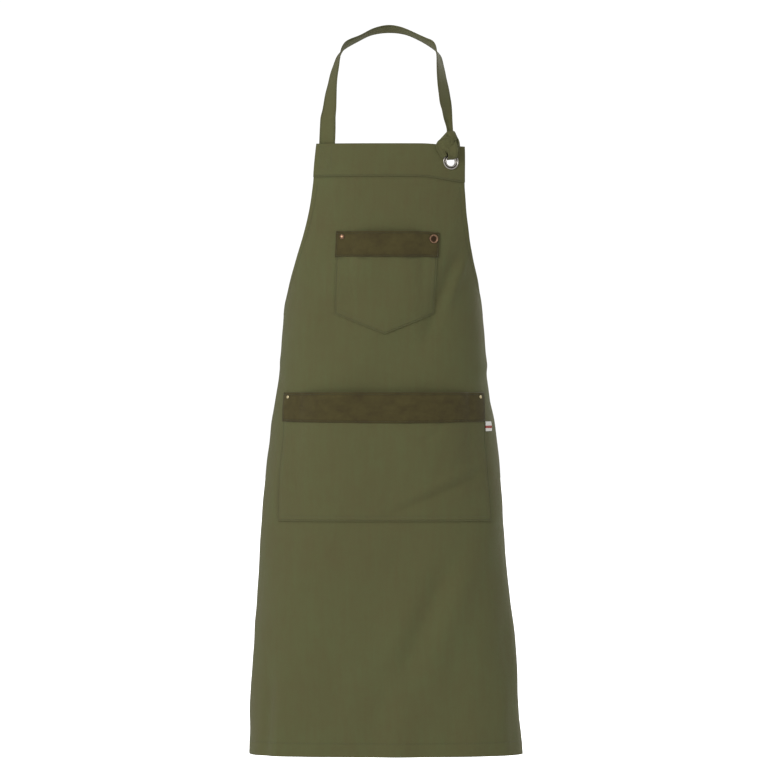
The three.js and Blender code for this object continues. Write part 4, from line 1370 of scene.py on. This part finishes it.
def makeStitchTree():
    tree = bpy.data.node_groups.new("stitchAlong", "GeometryNodeTree")
    tree.is_modifier = True
    inputs = [("Geometry", "Geometry"), ("Stitch pitch", "Float"), ("Stitch length", "Float"),
              ("Thread thickness", "Float"), ("Wander", "Float"), ("Seed", "Int"),
              ("Thread", "Material")]
    for label, kind in inputs:
        tree.interface.new_socket(label, in_out="INPUT", socket_type="NodeSocket" + kind)
    tree.interface.new_socket("Geometry", in_out="OUTPUT", socket_type="NodeSocketGeometry")
    start = tree.nodes.new("NodeGroupInput")
    end = tree.nodes.new("NodeGroupOutput")

    def add(kind, **values):
        return newNode(tree, kind, **values)

    curve = add("GeometryNodeMeshToCurve", Mesh=start.outputs["Geometry"])
    spaced = add("GeometryNodeResampleCurve", Curve=curve.outputs[0])
    spaced.mode = "LENGTH"
    tree.links.new(start.outputs["Stitch pitch"], spaced.inputs["Length"])
    bead = add("GeometryNodeMeshUVSphere", Segments=6, Rings=4, Radius=0.5)
    size = add("ShaderNodeCombineXYZ", X=start.outputs["Stitch length"],
               Y=start.outputs["Thread thickness"], Z=start.outputs["Thread thickness"])
    turned = add("GeometryNodeTransform", Geometry=bead.outputs[0])
    turned.inputs["Rotation"].default_value = (0, math.pi / 2, 0)
    scaled = add("GeometryNodeTransform", Geometry=turned.outputs[0])
    tree.links.new(size.outputs[0], scaled.inputs["Scale"])
    rounded = add("GeometryNodeSetShadeSmooth", Geometry=scaled.outputs[0])
    tangent = add("GeometryNodeInputTangent")
    facing = add("GeometryNodeInputNamedAttribute", Name="facing")
    facing.data_type = "FLOAT_VECTOR"
    forward = add("FunctionNodeAlignRotationToVector", Vector=tangent.outputs[0])
    forward.axis = "X"
    upright = add("FunctionNodeAlignRotationToVector", Rotation=forward.outputs[0])
    upright.axis = "Z"
    upright.pivot_axis = "X"
    tree.links.new(facing.outputs[0], upright.inputs["Vector"])
    wander = tree.nodes.new("FunctionNodeRandomValue")
    wander.data_type = "FLOAT"
    low = add("ShaderNodeMath")
    low.operation = "MULTIPLY"
    tree.links.new(start.outputs["Wander"], low.inputs[0])
    low.inputs[1].default_value = -1
    floats = [k for k in wander.inputs if k.type == "VALUE"]
    tree.links.new(low.outputs[0], floats[0])
    tree.links.new(start.outputs["Wander"], floats[1])
    tree.links.new(start.outputs["Seed"], wander.inputs["Seed"])
    lean = add("ShaderNodeCombineXYZ")
    tree.links.new([k for k in wander.outputs if k.type == "VALUE"][0], lean.inputs["Z"])
    leaned = add("FunctionNodeRotateRotation", Rotation=upright.outputs[0])
    leaned.rotation_space = "LOCAL"
    tree.links.new(lean.outputs[0], leaned.inputs["Rotate By"])
    placed = add("GeometryNodeInstanceOnPoints", Points=spaced.outputs[0],
                 Instance=rounded.outputs[0], Rotation=leaned.outputs[0])
    real = add("GeometryNodeRealizeInstances", Geometry=placed.outputs[0])
    finished = add("GeometryNodeSetMaterial", Geometry=real.outputs[0],
                   Material=start.outputs["Thread"])
    tree.links.new(finished.outputs[0], end.inputs[0])
    return tree


stitchTree = makeStitchTree()


def stitchPiece(name, seams):
    # seams are (points, facings) in millimetres, each one run of stitches
    points = []
    facings = []
    edges = []
    for line, facing in seams:
        first = len(points)
        points += [tuple(p) for p in np.asarray(line) * mm]
        facings += [tuple(p) for p in np.asarray(facing)]
        edges += [(k, k + 1) for k in range(first, len(points) - 1)]
    mesh = bpy.data.meshes.new(name + "Path")
    mesh.from_pydata(points, edges, [])
    attribute = mesh.attributes.new("facing", "FLOAT_VECTOR", "POINT")
    attribute.data.foreach_set("vector", np.array(facings, np.float32).ravel())
    guide = addObject(name + "Path", mesh)
    modifier = guide.modifiers.new("stitches", "NODES")
    modifier.node_group = stitchTree
    values = {"Stitch pitch": stitching["pitch"] * mm, "Stitch length": stitching["length"] * mm,
              "Thread thickness": stitching["thickness"] * mm, "Wander": stitching["sideways"],
              "Seed": stitching["seed"], "Thread": thread}
    for item in stitchTree.interface.items_tree:
        if item.in_out == "INPUT" and item.name in values:
            modifier[item.identifier] = values[item.name]
    view = bpy.context.evaluated_depsgraph_get()
    baked = bpy.data.meshes.new_from_object(guide.evaluated_get(view))
    baked.name = name
    piece = addObject(name, baked)
    bpy.data.objects.remove(guide)
    return piece


def clothSeam(across, drop, lift):
    across, drop = np.broadcast_arrays(np.asarray(across, float), np.asarray(drop, float))
    return onCloth(across, drop, lift), outward(across, drop)


def sheetSeams():
    cut = sheetCut
    down = along(topBand["drop"] + 4, cut["length"] - 24, 5)
    reach = cut["hemWidth"] / 2 - 13
    foot = along(-reach, reach, 5)
    footDrop = np.full(len(foot), float(cut["length"] - cut["footSeam"]))
    frontLift, backLift = -0.12, -1.72
    seams = []
    for side in (-1, 1):
        edge = side * (sheetHalf(down) - cut["sideSeam"])
        seams += [clothSeam(edge, down, lift) for lift in (frontLift, backLift)]
    return seams + [clothSeam(foot, footDrop, lift) for lift in (frontLift, backLift)]


def bandSeams():
    # the band's foot on both faces, and the crossed box that holds the strap's sewn end
    row = along(-114, 114, 4)
    level = np.full(len(row), topBand["drop"] - topBand["seam"])
    seams = [clothSeam(row, level, topBand["front"] - 0.15),
             clothSeam(row, level, topBand["back"] + 0.1)]
    middle = strap["sewnAcross"]
    box = [(-9.5, 4), (9.5, 4), (9.5, 41), (-9.5, 41), (-9.5, 4), (9.5, 41)]
    path = []
    for a, b in zip(box[:-1], box[1:]):
        a, b = np.array(a), np.array(b)
        path += [tuple(a + (b - a) * t) for t in np.linspace(0, 1, 9)[:-1]]
    path = np.array(path + [box[-1]])
    seams.append(clothSeam(middle + path[:, 0], path[:, 1], topBand["front"] + 0.05))
    return seams


def pocketSeams(pocket):
    layer = pocketLayer
    half = pocket["width"] / 2 - layer["seam"]
    slope = (pocket["height"] - pocket["sideHeight"]) / (pocket["width"] / 2)
    seams = []
    for inset in (0, layer["secondSeam"]):
        side = half - inset
        inside = layer["seam"] + inset
        foot = pocket["drop"] + pocket["sideHeight"] - inside * math.hypot(1, slope)
        foot += slope * inside
        point = foot + slope * side
        down = along(pocket["drop"] + pocket["trimHeight"] + 2, foot, 4)
        row = along(-side, side, 4)
        level = point - slope * np.abs(row)
        across = np.concatenate([np.full(len(down), -side), row, np.full(len(down), side)])
        drop = np.concatenate([down, level, down[::-1]])
        across = pocket["centre"] + across * (1 + splayAt(pocket, drop) * 2 / pocket["width"])
        gape = pocketGape(pocket, across, drop)
        seams.append(clothSeam(across, drop, layer["outside"] + 0.05 + gape))
    top = pocket["drop"] - layer["trimAbove"] + layer["trimTopSeam"]
    foot = pocket["drop"] + pocket["trimHeight"] - layer["trimSeam"]
    reach = pocket["width"] / 2 + pocket["overhang"] - layer["trimSeam"]
    for level, dip in ((top, 0), (foot, pocket["dip"])):
        row = along(-reach, reach, 4)
        level = level + dip * (1 - (row / reach) ** 2)
        gape = pocketGape(pocket, row + pocket["centre"], level)
        seams.append(clothSeam(row + pocket["centre"], level, trimFace - 0.2 + gape))
    for side in (-1, 1):
        down = along(top, foot, 4)
        across = np.full(len(down), pocket["centre"] + side * reach)
        seams.append(clothSeam(across, down, trimFace - 0.15 + pocketGape(pocket, across, down)))
    return seams


def bandEdgeSeams(path, facing, width, thickness, cup, begin=0.02, finish=0.98):
    # stitches along both edges of a band, on both of its faces
    line, broad, normal, _ = bandFrames(path, facing, 4.0)
    share = np.linspace(0, 1, len(line))
    wide, thick, cupped = (alongBand(value, share) for value in (width, thickness, cup))
    pick = (share >= begin) & (share <= finish)
    seams = []
    for side in (-1, 1):
        for faceSide in (-1, 1):
            reach = wide / 2 - bandSeam["inset"]
            part = reach / (wide / 2)
            lift = faceSide * thick / 2 * 0.93 + cupped * (part ** 2 - 0.4) * wide / cupWidth
            seams.append(((line + broad * (side * reach)[:, None] + normal * lift[:, None])[pick],
                          (normal * faceSide)[pick]))
    return seams


sheetStitches = stitchPiece("sheetStitches", sheetSeams())
bandStitches = stitchPiece("bandStitches", bandSeams())
chestStitches = stitchPiece("chestStitches", pocketSeams(chestPocket))
waistStitches = stitchPiece("waistStitches", pocketSeams(waistPocket))
strapStitches = stitchPiece("strapStitches", bandEdgeSeams(
    strapPoints, strapFacing, strapWidth, strapThickness, strapCup, 0.004, 0.94))
bowSeams = []
for side in (-1, 1):
    bowSeams += bandEdgeSeams(*bowRoute(side), bowWidth, bow["thickness"], bow["cup"], 0.1, 0.9)
tieStitches = stitchPiece("tieStitches", bowSeams)
tailStitchesLeft = stitchPiece("tailStitchesLeft", bandEdgeSeams(
    *tailRoute(-1), tailWidth, tail["thickness"], tail["cup"]))
tailStitchesRight = stitchPiece("tailStitchesRight", bandEdgeSeams(
    *tailRoute(1), tailWidth, tail["thickness"], tail["cup"]))
print("stitches made")

# Camera, lights and floor
camera = addObject("camera", bpy.data.cameras.new("camera"))
bpy.context.scene.camera = camera
camera.location = (0.0031, -9.0, -0.5545)
camera.rotation_euler = (math.radians(90), 0, 0)
viewed = {"sensor": 36, "distance": 8.875, "height": 1.203}
camera.data.sensor_width = viewed["sensor"]
camera.data.lens = viewed["sensor"] * viewed["distance"] / viewed["height"]
camera.data.clip_end = 200


def softLight(name, place, toward, size, power):
    lamp = bpy.data.lights.new(name, "AREA")
    lamp.shape = "DISK"
    lamp.size = size
    lamp.energy = power
    light = addObject(name, lamp)
    light.location = place
    aim = Vector(toward) - Vector(place)
    light.rotation_euler = aim.to_track_quat("-Z", "Y").to_euler()


softLight("keyLight", (-2.6, -3.4, 1.4), (0, -0.1, -0.6), 1.6, 95)
softLight("backLight", (2.2, 3.4, 1.6), (0, 0, -0.6), 2.4, 105)
studio = {"ambient": 0.62, "backdrop": 1.05}


def whiteToEye(tree, shade):
    # the backdrop and floor look plain white but light the cloth softly
    path = tree.nodes.new("ShaderNodeLightPath")
    seen = path.outputs["Is Camera Ray"]
    return timesPlus(tree, seen, studio["backdrop"] - shade, shade)


world = bpy.data.worlds.new("studio")
world.use_nodes = True
backdrop = world.node_tree.nodes["Background"]
backdrop.inputs[0].default_value = (1, 1, 1, 1)
world.node_tree.links.new(whiteToEye(world.node_tree, studio["ambient"]), backdrop.inputs[1])
bpy.context.scene.world = world
bpy.context.scene.view_settings.view_transform = "Standard"

floorMaterial, floorTree, floorShader = newMaterial("paleFloor")
feed(floorTree, floorShader, Base_Color=(0.9, 0.9, 0.9, 1), Roughness=0.9,
     Emission_Color=(1, 1, 1, 1), Emission_Strength=whiteToEye(floorTree, 0.0))


def floorPiece(level=-1.32, radius=40.0):
    ring = [(radius * math.cos(a), radius * math.sin(a), level)
            for a in np.linspace(0, 2 * math.pi, 97)[:-1]]
    mesh = bpy.data.meshes.new("floor")
    mesh.from_pydata([tuple(map(float, p)) for p in ring], [], [tuple(range(len(ring)))])
    mesh.materials.append(floorMaterial)
    return addObject("floor", mesh)


floorPiece()
print("camera, lights and floor made")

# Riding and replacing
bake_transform(apronSheet)
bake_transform(sheetStitches)
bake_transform(neckStrap)
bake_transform(strapStitches)
riding = {
    "bib": [bandFold, bandStitches, eyeletRing, eyeletWasher, chestPocketPiece, chestTrimPiece,
            chestStitches, chestRivet, chestBadge, knotFoldPiece, eyeletTurn, freeEnd, sideWrap,
            tieLeft, tieRight, tieKnot, bowLeft, bowRight, tieStitches],
    "skirt": [waistPocketPiece, waistTrimPiece, waistStitches, waistRivetLeft, waistRivetRight],
    "label": [sideLabel],
    "tail_left": [tailLeft, tailStitchesLeft],
    "tail_right": [tailRight, tailStitchesRight],
}
for body, pieces in riding.items():
    for piece in pieces:
        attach(piece, body)

replacing = [
    (apronSheet, "bib_panel", "skirt_panel"), (bandFold, "top_band"), (eyeletRing, "eyelet"),
    (eyeletWasher, "eyelet_washer"), (chestPocketPiece, "chest_pocket"),
    (chestTrimPiece, "chest_pocket_trim"), (chestRivet, "chest_rivet", "chest_rivet_back"),
    (chestBadge, "chest_badge", "chest_badge_back"), (waistPocketPiece, "waist_pocket"),
    (waistTrimPiece, "waist_pocket_trim"),
    (waistRivetLeft, "waist_rivet_left", "waist_rivet_left_back"),
    (waistRivetRight, "waist_rivet_right", "waist_rivet_right_back"), (sideLabel, "side_label"),
    (neckStrap, "neck_strap", "strap_sewn_end"), (knotFoldPiece, "strap_knot"),
    (eyeletTurn, "strap_eyelet_turn"), (freeEnd, "strap_free_end"), (tieLeft, "waist_tie_left"),
    (tieRight, "waist_tie_right"), (tieKnot, "tie_knot"), (bowLeft, "bow_loop_left"),
    (bowRight, "bow_loop_right"), (tailLeft, "tie_tail_left"), (tailRight, "tie_tail_right"),
]
for piece, *nodes in replacing:
    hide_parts(*nodes)
